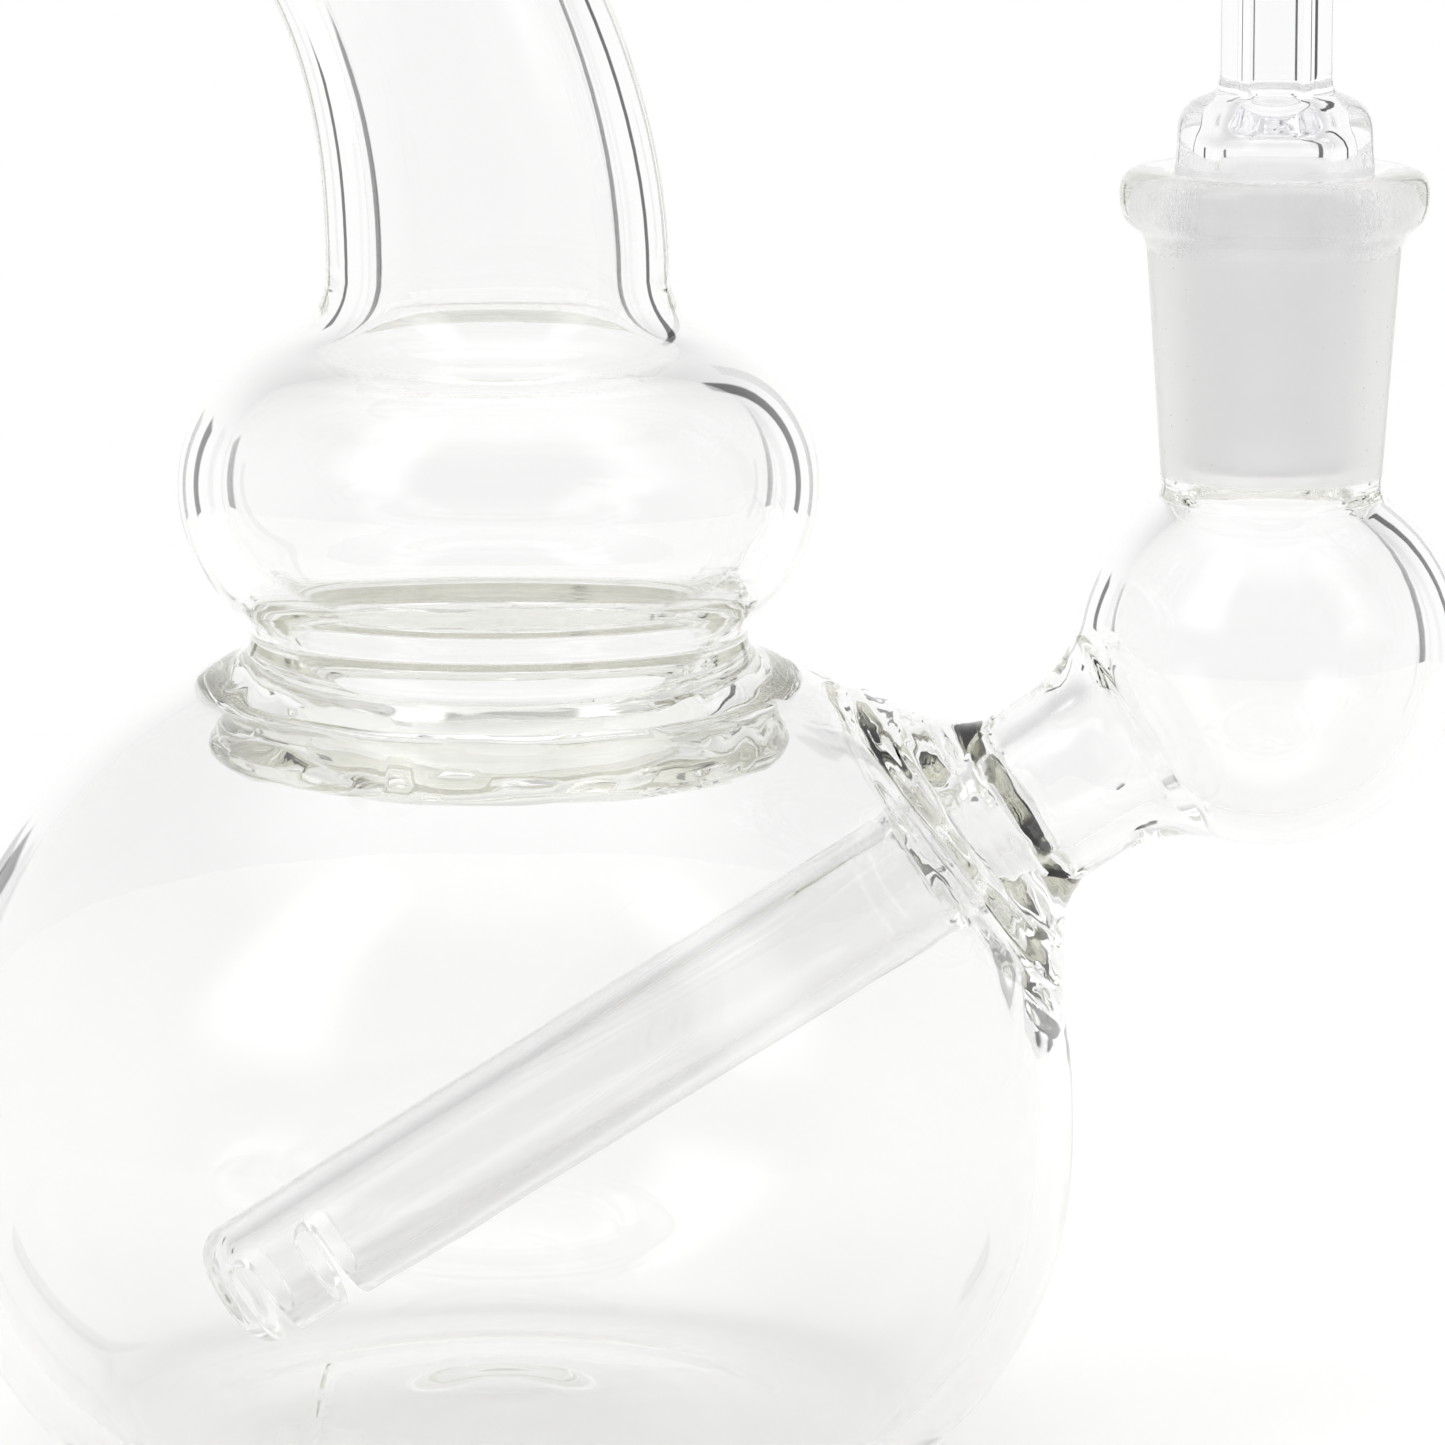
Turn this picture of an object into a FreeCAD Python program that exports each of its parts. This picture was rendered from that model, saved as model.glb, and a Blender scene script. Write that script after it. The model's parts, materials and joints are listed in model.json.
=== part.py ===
"""Glass water pipe: a squat round chamber, an S-bend neck with a bulge, a slanted diffuser stem
and a lift-out quartz bucket.

Frame: millimetres, +Z up. The origin is on the table plane, on the chamber's own axis. The neck leans
towards -X, the side arm and its ground joint stand towards +X, and the object is mirror-symmetric
about the XZ plane.

Every glass blank that a lampworker would join is a solid of its own, and fused neighbours meet face
to face. The chamber is parted into level rings besides, which meet face to face as well.
"""
import math
import os

import FreeCAD
import Part

V = FreeCAD.Vector
X, Y, Z = V(1, 0, 0), V(0, 1, 0), V(0, 0, 1)
ORIGIN = V(0, 0, 0)

# ---- driving dimensions -------------------------------------------------------------------------------
WALL = 2.5                      # blown wall of the chamber

CHAMBER_R = 42.2                # widest radius
CHAMBER_Z = 25.3                # height of the widest place
CHAMBER_TOP_B = 38.0            # half-height of the upper superellipse
CHAMBER_LOW_B = 32.0            # half-height of the lower one, cut off by the foot
CHAMBER_N = 2.3                 # superellipse power
FOOT_FILLET = 5.0               # round between the chamber wall and the foot ring
DOME_R = 22.0                   # inside this radius the foot is pushed up into a low dome
DOME_RISE = 2.0
FLOOR_Z = 3.4                   # height of the inner floor beside the wall
FLOOR_CORNER = 2.0              # inner round between wall and floor
RING_LEVELS = (12.0, 27.5, 45.0)    # the chamber's four rings meet at these heights

COLLAR_R = 20.0                 # cylinder on which the neck seal is fused to the chamber
WAIST_R = 18.0                  # outer radius of the waist
WAIST_Z = 62.0
COLLAR_FILLET = 1.6
BEAD_R = 21.3                   # outer radius of the bead that hangs inside the chamber
BEAD_Z = 54.1
BEAD_HALF_WIDTH, BEAD_HALF_HEIGHT = 3.6, 1.9

BULGE_R = 11.8                  # section radius of the neck bulb
BULGE_CENTRE_R = 11.6
WAIST_FILLET = 2.5
BULGE_RISE = math.sqrt((BULGE_R + WAIST_FILLET) ** 2 - (WAIST_R + WAIST_FILLET - BULGE_CENTRE_R) ** 2)
BULGE_Z = WAIST_Z + BULGE_RISE
NECK_R = 12.5
NECK_FILLET = 4.0

BEND_R = 52.0                   # centreline radius of both neck bends
LEAN_DEG = 45.0                 # steepest lean of the neck
MOUTH_LEAN_DEG = 12.0
LEAN_RUN = 11.0                 # straight stretch between the bends
NECK_TOP_R = 10.6               # the tube is drawn down to this in the first bend
TAPER_RUN = 32.0                # length along the centreline over which it is drawn down
NECK_LOW_WALL = 3.1             # wall of the waist, the bulb and the foot of the neck
NECK_WALL = 2.4                 # wall above the first bend
THIN_RUN = 40.0                 # the wall thins over this length along the centreline
MOUTH_RUN = 28.0                # straight tube above the second bend
FLARE_RUN = 9.0
LIP_R = 13.6                    # outer radius of the mouth
LIP_BEAD = 1.9                  # section radius of the fire-polished lip

ARM_DEG = 32.4                  # slope of the side arm and the stem
BALL_X, BALL_Z = 56.3, 60.7
BALL_R = 14.2
BALL_WALL = 2.3
ARM_R = 6.8
ARM_BORE_R = 4.5
ARM_FILLET = 9.0
ARM_END = 19.4                  # distances along the arm's axis count from the ball's centre
SEAL_CYLINDER_R = 15.0          # cylinder on which the arm seal is fused to the chamber
FLARE_ROUND = 4.6               # the arm flares on to the chamber with this radius
FLARE_DEG = 49.0                # slope of the flare against the arm's axis
FLARE_R = 14.4                  # radius at which the flare has run into the chamber
SEAL_FILLET = 5.0
SEAL_INNER_FILLET = 3.0
STEM_R = 5.1
STEM_BORE_R = 3.4
STEM_START = 32.0
STEM_END = 91.0
TIP_START = 76.0
TIP_ROUND = 2.6
TIP_WALL = 1.4
SLIT_WIDTH = 2.0
SLIT_DEPTH = 7.4                # each slit is sawn this far up through the tube from below
SLIT_FROM_END = (2.8, 8.4)

SOCKET_R_LOW, SOCKET_R_HIGH = 8.0, 9.2
SOCKET_Z = BALL_Z + math.sqrt(BALL_R ** 2 - SOCKET_R_LOW ** 2)      # where the socket is fused to the ball
SOCKET_RIM_Z = 90.2             # plane where the rim bead starts
SOCKET_TOP_Z = 96.3
CONE_R_TOP = 7.25               # bore radius of the ground socket at its top plane
CONE_SLOPE = 0.05               # radius lost per millimetre of depth, a 1:10 taper
RIM_R = 11.25
RIM_LOW_Z = 93.2

GRIND_GAP = 0.03                # radial running clearance between the ground faces
INSERT_LOW_Z = 74.6
INSERT_SEAM_Z = 96.9
INSERT_BORE_R = 4.1
SHOULDER_TOP_Z = 101.8
SHOULDER_R = 7.12
CAVITY_TOP_Z = 99.3
QUARTZ_ARM_R = 4.1
QUARTZ_BORE_R = 1.9
ELBOW_Z = 111.0
ELBOW_R = 9.0
BUCKET_X = 86.0
BUCKET_R = 12.5
BUCKET_WALL = 2.0
BUCKET_LOW_Z = 107.5
BUCKET_HIGH_Z = 131.5
BUCKET_FLOOR = 3.0
BUCKET_EDGE = 0.6

EPS_LENGTH = 40.0               # generous length for cutting tools


# ---- small drawing helpers ----------------------------------------------------------------------------
def at(r, z, x=0.0):
    """A point of a profile drawn in the XZ plane, r from the axis at x."""
    return V(x + r, 0, z)


def line(a, b):
    return Part.makeLine(a, b)


def arc(centre, radius, start_deg, end_deg):
    """Arc in the XZ plane, angles from +X towards +Z."""
    def point(deg):
        a = math.radians(deg)
        return centre + V(radius * math.cos(a), 0, radius * math.sin(a))
    return Part.Arc(point(start_deg), point((start_deg + end_deg) / 2), point(end_deg)).toShape()


def spline(points, first=None, last=None):
    curve = Part.BSplineCurve()
    if first is None:
        curve.interpolate(Points=points)
    else:
        curve.interpolate(Points=points, InitialTangent=first, FinalTangent=last)
    return curve.toShape()


def ends(edge):
    return edge.valueAt(edge.FirstParameter), edge.valueAt(edge.LastParameter)


def outward(solid):
    return solid if solid.Volume > 0 else solid.reversed()


def turned(edges, axis_point=ORIGIN, axis=Z):
    """Solid of revolution from edges that follow each other round a closed profile."""
    wire = Part.Wire(Part.__sortEdges__(edges))
    solid = Part.Face(wire).revolve(axis_point, axis, 360)
    return outward(solid)


def export(name, shape):
    solids = shape.Solids
    assert solids and shape.isValid(), name
    body = solids[0] if len(solids) == 1 else Part.makeCompound(solids)
    body.exportStep(os.path.join("parts", name + ".step"))
    print(f"{name:18s} {len(solids)} solid  {body.Volume:9.1f} mm3")


# ---- chamber ------------------------------------------------------------------------------------------
def chamber_curve(inset, low_z, high_r, steps=7):
    """Wall curve of the chamber, inset from the outside: from low_z, and up to radius high_r."""
    a = CHAMBER_R - inset
    power = 2 / CHAMBER_N

    def part(b, sign, last_angle):
        points = []
        for i in range(steps + 1):
            angle = last_angle * i / steps
            points.append(at(a * math.cos(angle) ** power, CHAMBER_Z + sign * b * math.sin(angle) ** power))
        step = 1e-4
        last = math.cos(last_angle - step) ** power, math.sin(last_angle - step) ** power
        tangent = points[-1] - at(a * last[0], CHAMBER_Z + sign * b * last[1])
        return spline(points, V(0, 0, sign), tangent)

    low_b, high_b = CHAMBER_LOW_B - inset, CHAMBER_TOP_B - inset
    low_angle = math.asin(((CHAMBER_Z - low_z) / low_b) ** (1 / power))
    high_angle = math.acos((high_r / a) ** (1 / power))
    return part(low_b, -1, low_angle), part(high_b, 1, high_angle)


def chamber_solid(inset, low_z, round_radius, rise):
    """The chamber's filled form: flat on top at the collar's radius, with a low dome underneath."""
    low, high = chamber_curve(inset, low_z, COLLAR_R)
    foot, top = ends(low)[1], ends(high)[1]
    dome = Part.Arc(at(0, low_z + rise), at(DOME_R / 2, low_z + rise * 0.75), at(DOME_R, low_z)).toShape()
    solid = turned([low, high, line(top, at(0, top.z)), line(at(0, top.z), at(0, low_z + rise)), dome,
                    line(at(DOME_R, low_z), foot)])
    rims = [e for e in solid.Edges if abs(e.CenterOfMass.z - low_z) < 1e-3 and e.Length > 6.2 * foot.x]
    solid = solid.makeFillet(round_radius, rims)
    return solid.rotated(ORIGIN, Z, 180)        # keeps the surface's own seam away from the arm


# ---- arm axis -----------------------------------------------------------------------------------------
BALL = V(BALL_X, 0, BALL_Z)
ARM_DIR = V(-math.cos(math.radians(ARM_DEG)), 0, -math.sin(math.radians(ARM_DEG)))
ARM_UP = V(-ARM_DIR.z, 0, ARM_DIR.x)        # square to the arm's axis, in the XZ plane


def on_arm(t, r=0.0):
    return BALL + ARM_DIR * t + ARM_UP * r


def arm_rod(radius, start, end):
    return Part.makeCylinder(radius, end - start, on_arm(start), ARM_DIR)


def arm_arc(t, r, radius, t_start, t_end):
    """Arc in the arm's profile plane about (t, r), on the side nearer the axis, between two t."""
    def point(place):
        return on_arm(place, r - math.sqrt(max(radius ** 2 - (place - t) ** 2, 0)))
    return Part.Arc(point(t_start), point((t_start + t_end) / 2), point(t_end)).toShape()


def arm_offset(point):
    """Distance along the arm's axis from the ball's centre, and distance from that axis."""
    offset = point - BALL
    t = offset.dot(ARM_DIR)
    return t, (offset - ARM_DIR * t).Length


def middle(edge, share):
    return edge.valueAt(edge.FirstParameter + (edge.LastParameter - edge.FirstParameter) * share)


def on_rod(edge, radius, flat_t):
    """True for the curve in which a rod on the arm's axis meets the chamber wall."""
    offsets = [arm_offset(middle(edge, share)) for share in (0.1, 0.37, 0.63, 0.9)]
    if any(abs(r - radius) > 1e-3 or abs(t - flat_t) < 0.5 for t, r in offsets):
        return False
    return max(t for t, _ in offsets) - min(t for t, _ in offsets) < 0.9 * edge.Length


def on_flare(edge):
    """True for the two curves in which the arm's flare meets the chamber wall."""
    side = [middle(edge, share) for share in (0.1, 0.37, 0.63, 0.9)]
    crosses = max(abs(p.y) for p in side) > 5 and min(p.x for p in side) > 20
    spread = [arm_offset(p)[0] for p in side]
    return crosses and max(spread) - min(spread) > 1 and min(p.y * side[0].y for p in side) > 0


def arm_flare():
    """Trumpet on the arm's axis that spreads the arm's glass over the chamber wall."""
    slope = math.radians(FLARE_DEG)
    bend_t = ARM_END + FLARE_ROUND * math.sin(slope)
    bend_r = ARM_R + FLARE_ROUND * (1 - math.cos(slope))
    wide_t = bend_t + (FLARE_R - bend_r) / math.tan(slope)
    arm_edge = arm_arc(ARM_END, ARM_R + FLARE_ROUND, FLARE_ROUND, ARM_END, bend_t)
    return turned([line(on_arm(ARM_END), on_arm(ARM_END, ARM_R)), arm_edge,
                   line(on_arm(bend_t, bend_r), on_arm(wide_t, FLARE_R)),
                   line(on_arm(wide_t, FLARE_R), on_arm(wide_t + 1.5, FLARE_R - 4)),
                   line(on_arm(wide_t + 1.5, FLARE_R - 4), on_arm(STEM_START)),
                   line(on_arm(STEM_START), on_arm(ARM_END))], BALL, ARM_DIR)


def chamber_and_seal():
    """The chamber wall with the arm and the stem let into it, then parted on the seal cylinder."""
    outside = chamber_solid(0, 0, FOOT_FILLET, DOME_RISE).fuse(arm_flare())
    crease = [e for e in outside.Edges if on_flare(e)]
    outside = outside.makeFillet(SEAL_FILLET, crease)
    hollow = chamber_solid(WALL, FLOOR_Z, FLOOR_CORNER, DOME_RISE).cut(arm_rod(STEM_R, 15, STEM_START))
    foot = [e for e in hollow.Edges if on_rod(e, STEM_R, STEM_START)]
    hollow = hollow.makeFillet(SEAL_INNER_FILLET, foot)
    shell = outside.cut(hollow).cut(arm_rod(SEAL_CYLINDER_R, STEM_START, STEM_START + 1))
    # open the bore: arm tube width outside, stem width inside, with a short cone between
    bore = arm_rod(ARM_BORE_R, 10, 23).fuse(arm_rod(STEM_BORE_R, 25, 60))
    bore = bore.fuse(Part.makeCone(ARM_BORE_R, STEM_BORE_R, 2, on_arm(23), ARM_DIR))
    plug = arm_rod(SEAL_CYLINDER_R, ARM_END - 1, STEM_START)
    seal = shell.common(plug).cut(bore)
    wall = shell.cut(arm_rod(SEAL_CYLINDER_R, ARM_END - 5, STEM_START + 8))
    keep = max(seal.Solids, key=lambda s: s.Volume)
    wall = max(wall.Solids, key=lambda s: s.Volume)
    return wall.cut(Part.makeCylinder(COLLAR_R, 40, V(0, 0, 45))), keep


def chamber_rings(wall):
    """The chamber wall parted at RING_LEVELS, from the foot up."""
    side = 4 * CHAMBER_R
    levels = (-1, *RING_LEVELS, WAIST_Z)
    rings = []
    for low, high in zip(levels[:-1], levels[1:]):
        ring = wall.common(Part.makeBox(side, side, high - low, V(-side / 2, -side / 2, low)))
        rings.append(max(ring.Solids, key=lambda s: s.Volume))
    return rings


# ---- neck ---------------------------------------------------------------------------------------------
def neck_seal():
    """Thick fused ring between chamber and neck, with the bead that shows inside the chamber."""
    _, outer = chamber_curve(0, 0, COLLAR_R)
    _, inner = chamber_curve(WALL, FLOOR_Z, COLLAR_R)
    top, under = ends(outer)[1], ends(inner)[1]
    bore_r = WAIST_R - NECK_LOW_WALL
    middle = at(WAIST_R + 0.35, WAIST_Z - COLLAR_FILLET * 0.66)
    fillet = Part.Arc(at(WAIST_R, WAIST_Z), middle, top).toShape()

    def on_bead(deg):
        a = math.radians(deg)
        return at(BEAD_R - BEAD_HALF_WIDTH * (1 - math.cos(a)), BEAD_Z + BEAD_HALF_HEIGHT * math.sin(a))

    bead = spline([on_bead(deg) for deg in range(0, -181, -20)], V(0, 0, -1), V(0, 0, 1))
    shoulder = Part.Arc(on_bead(0), on_bead(20), on_bead(40)).toShape()
    lead = at(bore_r, BEAD_Z + BEAD_HALF_HEIGHT + 0.6)
    return turned([line(at(bore_r, WAIST_Z), at(WAIST_R, WAIST_Z)), fillet, line(top, under),
                   line(under, on_bead(40)), shoulder, bead, line(on_bead(-180), lead),
                   line(lead, at(bore_r, WAIST_Z))])


def neck_bulb_side(inset):
    """Half profile of the neck bulb from the waist to the neck, its two fillets found by tangency."""
    bulge = BULGE_R - inset
    centre = at(BULGE_CENTRE_R, BULGE_Z)

    def joined(fillet, edge_r, sign):
        fc_r = edge_r + fillet
        dz = math.sqrt((bulge + fillet) ** 2 - (fc_r - BULGE_CENTRE_R) ** 2)
        fc = at(fc_r, BULGE_Z + sign * dz)
        angle = math.degrees(math.atan2(sign * dz, fc_r - BULGE_CENTRE_R))
        return fc, angle

    low_c, low_a = joined(WAIST_FILLET + inset, WAIST_R - inset, -1)
    top_c, top_a = joined(NECK_FILLET + inset, NECK_R - inset, 1)
    low = arc(low_c, WAIST_FILLET + inset, 180, 180 + low_a)
    middle = arc(centre, bulge, low_a, top_a)
    top = arc(top_c, NECK_FILLET + inset, 180 + top_a, 180)
    return [low, middle, top], low_c.z, top_c.z


def neck_bulb():
    outer, low_z, top_z = neck_bulb_side(0)
    inner, _, _ = neck_bulb_side(NECK_LOW_WALL)
    inside = WAIST_R - NECK_LOW_WALL, NECK_R - NECK_LOW_WALL
    edges = [*outer, *inner, line(at(WAIST_R, low_z), at(inside[0], low_z)),
             line(at(NECK_R, top_z), at(inside[1], top_z))]
    return turned(edges), top_z


def neck_line(start):
    """Centreline of the neck as a function of length s: (point, unit direction)."""
    lean, mouth = math.radians(LEAN_DEG), math.radians(MOUTH_LEAN_DEG)
    first, second = BEND_R * lean, BEND_R * (lean - mouth)

    def place(s):
        if s <= first:
            a = s / BEND_R
            return V(-BEND_R * (1 - math.cos(a)), 0, start + BEND_R * math.sin(a)), a
        p, _ = place(first)
        if s <= first + LEAN_RUN:
            return p + V(-math.sin(lean), 0, math.cos(lean)) * (s - first), lean
        p = p + V(-math.sin(lean), 0, math.cos(lean)) * LEAN_RUN
        s -= first + LEAN_RUN
        a = lean - min(s, second) / BEND_R
        p = p + V(-(math.cos(a) - math.cos(lean)), 0, math.sin(lean) - math.sin(a)) * BEND_R
        return p + V(-math.sin(mouth), 0, math.cos(mouth)) * max(s - second, 0), a

    def full(s):
        p, a = place(s)
        return p, V(-math.sin(a), 0, math.cos(a))
    return full, (first, first + LEAN_RUN, first + LEAN_RUN + second)


def smooth(t):
    t = min(max(t, 0.0), 1.0)
    return t * t * (3 - 2 * t)


def neck_radius(s):
    return NECK_R + (NECK_TOP_R - NECK_R) * smooth(s / TAPER_RUN)


def ring(place, s, radius):
    p, d = place(s)
    return Part.Wire(Part.makeCircle(radius, p, d))


def drawn_tube(place, s0, s1, sections):
    """The drawn-down stretch of the neck, lofted through rings square to the centreline."""
    stops = [s0 + (s1 - s0) * i / sections for i in range(sections + 1)]
    outside = Part.makeLoft([ring(place, s, neck_radius(s)) for s in stops], True, False)
    inside = Part.makeLoft([ring(place, s, neck_radius(s) - neck_wall(s)) for s in stops], True, False)
    return outside.cut(inside)


def neck_wall(s):
    """The wall thins a little as the tube is drawn."""
    return NECK_LOW_WALL + (NECK_WALL - NECK_LOW_WALL) * smooth(s / THIN_RUN)


def annulus(centre, direction, outer_r, inner_r):
    outer = Part.Face(Part.Wire(Part.makeCircle(outer_r, centre, direction)))
    return outer.cut(Part.Face(Part.Wire(Part.makeCircle(inner_r, centre, direction)))).Faces[0]


def bent_tube(place, s0, s1, turn_deg, side):
    """A bend of constant bore: the tube's section turned about the centre of the bend."""
    p, d = place(s0)
    out = V(d.z, 0, -d.x)                       # towards +X, square to the tube
    centre = p + out * (BEND_R * side)
    section = annulus(p, d, NECK_TOP_R, NECK_TOP_R - NECK_WALL)
    return outward(section.revolve(centre, Y, turn_deg))


def straight_tube(place, s0, s1):
    p0, d = place(s0)
    p1, _ = place(s1)
    return outward(annulus(p0, d, NECK_TOP_R, NECK_TOP_R - NECK_WALL).extrude(p1 - p0))


def along(place, s0):
    """Profile points in the plane of the neck's own axis at s0: along(t, r)."""
    p, d = place(s0)
    out = V(d.z, 0, -d.x)
    return (lambda t, r: p + d * t + out * r), p, d


def mouth_pieces(place, s0):
    """Flared mouth tube and its fire-polished lip, turned about the neck's last straight stretch."""
    pt, p, d = along(place, s0)
    bore = NECK_TOP_R - NECK_WALL
    flare = MOUTH_RUN - FLARE_RUN
    lip_t = MOUTH_RUN
    grow = LIP_R - NECK_TOP_R
    halfway = pt(flare + FLARE_RUN * 0.55, NECK_TOP_R + grow * 0.28)
    outer = spline([pt(flare, NECK_TOP_R), halfway, pt(lip_t, LIP_R)],
                   d, d * 1 + (pt(0, 1) - pt(0, 0)) * 0.9)
    inner = spline([pt(flare, bore), pt(flare + FLARE_RUN * 0.55, bore + grow * 0.25),
                    pt(lip_t, LIP_R - NECK_WALL)], d, d * 1 + (pt(0, 1) - pt(0, 0)) * 0.9)
    root = pt(0, NECK_TOP_R)
    tube = turned([line(pt(0, bore), root), line(root, pt(flare, NECK_TOP_R)), outer,
                   line(pt(lip_t, LIP_R), pt(lip_t, LIP_R - NECK_WALL)), inner,
                   line(pt(flare, bore), pt(0, bore))], p, d)
    a, b = pt(lip_t, LIP_R), pt(lip_t, LIP_R - NECK_WALL)
    top = pt(lip_t + LIP_BEAD, LIP_R - NECK_WALL / 2 + 0.2)
    lip = turned([line(a, b), Part.Arc(a, top, b).toShape()], p, d)
    return tube, lip


# ---- side arm, ball and stem --------------------------------------------------------------------------
def ball_and_arm():
    """Hollow ball cut by the socket and the arm planes, and the waisted arm that leads to the seal."""
    fc_r = ARM_R + ARM_FILLET
    fc_t = math.sqrt((BALL_R + ARM_FILLET) ** 2 - fc_r ** 2)
    cut_t = BALL_R / (BALL_R + ARM_FILLET) * fc_t
    cut_r = BALL_R / (BALL_R + ARM_FILLET) * fc_r
    hollow_r = BALL_R - BALL_WALL
    inner_cut_r = math.sqrt(hollow_r ** 2 - cut_t ** 2)
    arm_outer = arm_arc(fc_t, fc_r, ARM_FILLET, cut_t, fc_t)
    bend = inner_cut_r - ARM_BORE_R
    arm_inner = Part.Arc(on_arm(cut_t, inner_cut_r), on_arm(cut_t + bend * 0.9, ARM_BORE_R + bend * 0.3),
                         on_arm(cut_t + bend * 2.6, ARM_BORE_R)).toShape()
    arm = turned([arm_outer, line(on_arm(fc_t, ARM_R), on_arm(ARM_END, ARM_R)),
                  line(on_arm(ARM_END, ARM_R), on_arm(ARM_END, ARM_BORE_R)),
                  line(on_arm(ARM_END, ARM_BORE_R), on_arm(cut_t + bend * 2.6, ARM_BORE_R)), arm_inner,
                  line(on_arm(cut_t, inner_cut_r), on_arm(cut_t, cut_r))], BALL, ARM_DIR)
    shell = Part.makeSphere(BALL_R, BALL).cut(Part.makeSphere(hollow_r, BALL))
    shell = shell.cut(arm_rod(BALL_R + 2, cut_t, cut_t + EPS_LENGTH))
    shell = shell.cut(Part.makeCylinder(BALL_R + 2, EPS_LENGTH, V(BALL_X, 0, SOCKET_Z), Z))
    shell = shell.cut(Part.makeCylinder(socket_bore(SOCKET_Z), EPS_LENGTH, BALL, Z))
    return shell, arm


def stem_tube():
    return arm_rod(STEM_R, STEM_START, TIP_START).cut(arm_rod(STEM_BORE_R, STEM_START - 1, TIP_START + 1))


def diffuser_tip():
    """Closed round end of the stem with slits sawn across it from below."""
    t1 = STEM_END
    k = TIP_ROUND * (1 - math.sqrt(0.5))
    edge_r = STEM_R - TIP_ROUND
    round_out = Part.Arc(on_arm(t1 - TIP_ROUND, STEM_R), on_arm(t1 - k, STEM_R - k), on_arm(t1, edge_r))
    inner_r, inner_t = TIP_ROUND - 1.0, t1 - TIP_WALL
    q = inner_r * (1 - math.sqrt(0.5))
    round_in = Part.Arc(on_arm(inner_t, STEM_BORE_R - inner_r), on_arm(inner_t - q, STEM_BORE_R - q),
                        on_arm(inner_t - inner_r, STEM_BORE_R))
    tip = turned([line(on_arm(TIP_START, STEM_R), on_arm(t1 - TIP_ROUND, STEM_R)), round_out.toShape(),
                  line(on_arm(t1, edge_r), on_arm(t1, 0)), line(on_arm(t1, 0), on_arm(inner_t, 0)),
                  line(on_arm(inner_t, 0), on_arm(inner_t, STEM_BORE_R - inner_r)), round_in.toShape(),
                  line(on_arm(inner_t - inner_r, STEM_BORE_R), on_arm(TIP_START, STEM_BORE_R)),
                  line(on_arm(TIP_START, STEM_BORE_R), on_arm(TIP_START, STEM_R))], BALL, ARM_DIR)
    for gap in SLIT_FROM_END:
        tip = tip.cut(slit_tool(t1 - gap))
    return tip


def slit_tool(t):
    """A saw cut across the tube: a flat slab with a round upper edge, open below."""
    half = SLIT_WIDTH / 2
    top_w = SLIT_DEPTH - STEM_R - half          # height of the round edge's centre above the tube's axis
    down = ARM_UP if ARM_UP.z < 0 else ARM_UP * -1
    centre = on_arm(t) - down * top_w - Y * STEM_R * 1.5
    width = STEM_R * 3
    upper = Part.makeCylinder(half, width, centre, Y)
    corners = [centre - ARM_DIR * half, centre + ARM_DIR * half,
               centre + ARM_DIR * half + down * SLIT_DEPTH * 2,
               centre - ARM_DIR * half + down * SLIT_DEPTH * 2]
    slab = Part.Face(Part.makePolygon([*corners, corners[0]])).extrude(Y * width)
    return slab.fuse(upper)


# ---- ground joint -------------------------------------------------------------------------------------
def socket_bore(z):
    return CONE_R_TOP - CONE_SLOPE * (SOCKET_TOP_Z - z)


def ground_socket():
    def p(r, z):
        return at(r, z, BALL_X)
    corners = [p(socket_bore(SOCKET_Z), SOCKET_Z), p(SOCKET_R_LOW, SOCKET_Z),
               p(SOCKET_R_HIGH, SOCKET_RIM_Z), p(socket_bore(SOCKET_RIM_Z), SOCKET_RIM_Z)]
    edges = [line(a, b) for a, b in zip(corners, corners[1:] + corners[:1])]
    return turned(edges, V(BALL_X, 0, 0), Z)


def socket_rim():
    def p(r, z):
        return at(r, z, BALL_X)
    top_round = 1.3
    k = top_round * (1 - math.sqrt(0.5))
    high = SOCKET_TOP_Z
    neck = spline([p(SOCKET_R_HIGH, SOCKET_RIM_Z), p(SOCKET_R_HIGH + 0.55, SOCKET_RIM_Z + 1.5),
                   p(RIM_R - 0.25, RIM_LOW_Z - 0.6), p(RIM_R, RIM_LOW_Z + 0.4)], V(0.05, 0, 1), V(0, 0, 1))
    inner_round = 0.5
    mouth = p(socket_bore(high - inner_round), high - inner_round)
    foot = p(socket_bore(SOCKET_RIM_Z), SOCKET_RIM_Z)
    over = Part.Arc(p(RIM_R, high - top_round), p(RIM_R - k, high - k), p(RIM_R - top_round, high))
    edges = [neck, line(p(RIM_R, RIM_LOW_Z + 0.4), p(RIM_R, high - top_round)),
             over.toShape(), line(p(RIM_R - top_round, high), p(CONE_R_TOP + inner_round, high)),
             line(p(CONE_R_TOP + inner_round, high), mouth), line(mouth, foot),
             line(foot, p(SOCKET_R_HIGH, SOCKET_RIM_Z))]
    return turned(edges, V(BALL_X, 0, 0), Z)


# ---- lift-out quartz bucket ---------------------------------------------------------------------------
def insert_cone():
    def p(r, z):
        return at(r, z, BALL_X)
    low, high = INSERT_LOW_Z, INSERT_SEAM_Z
    corners = [p(INSERT_BORE_R, low), p(socket_bore(low) - GRIND_GAP, low),
               p(socket_bore(high) - GRIND_GAP, high), p(INSERT_BORE_R, high)]
    edges = [line(a, b) for a, b in zip(corners, corners[1:] + corners[:1])]
    return turned(edges, V(BALL_X, 0, 0), Z)


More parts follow.
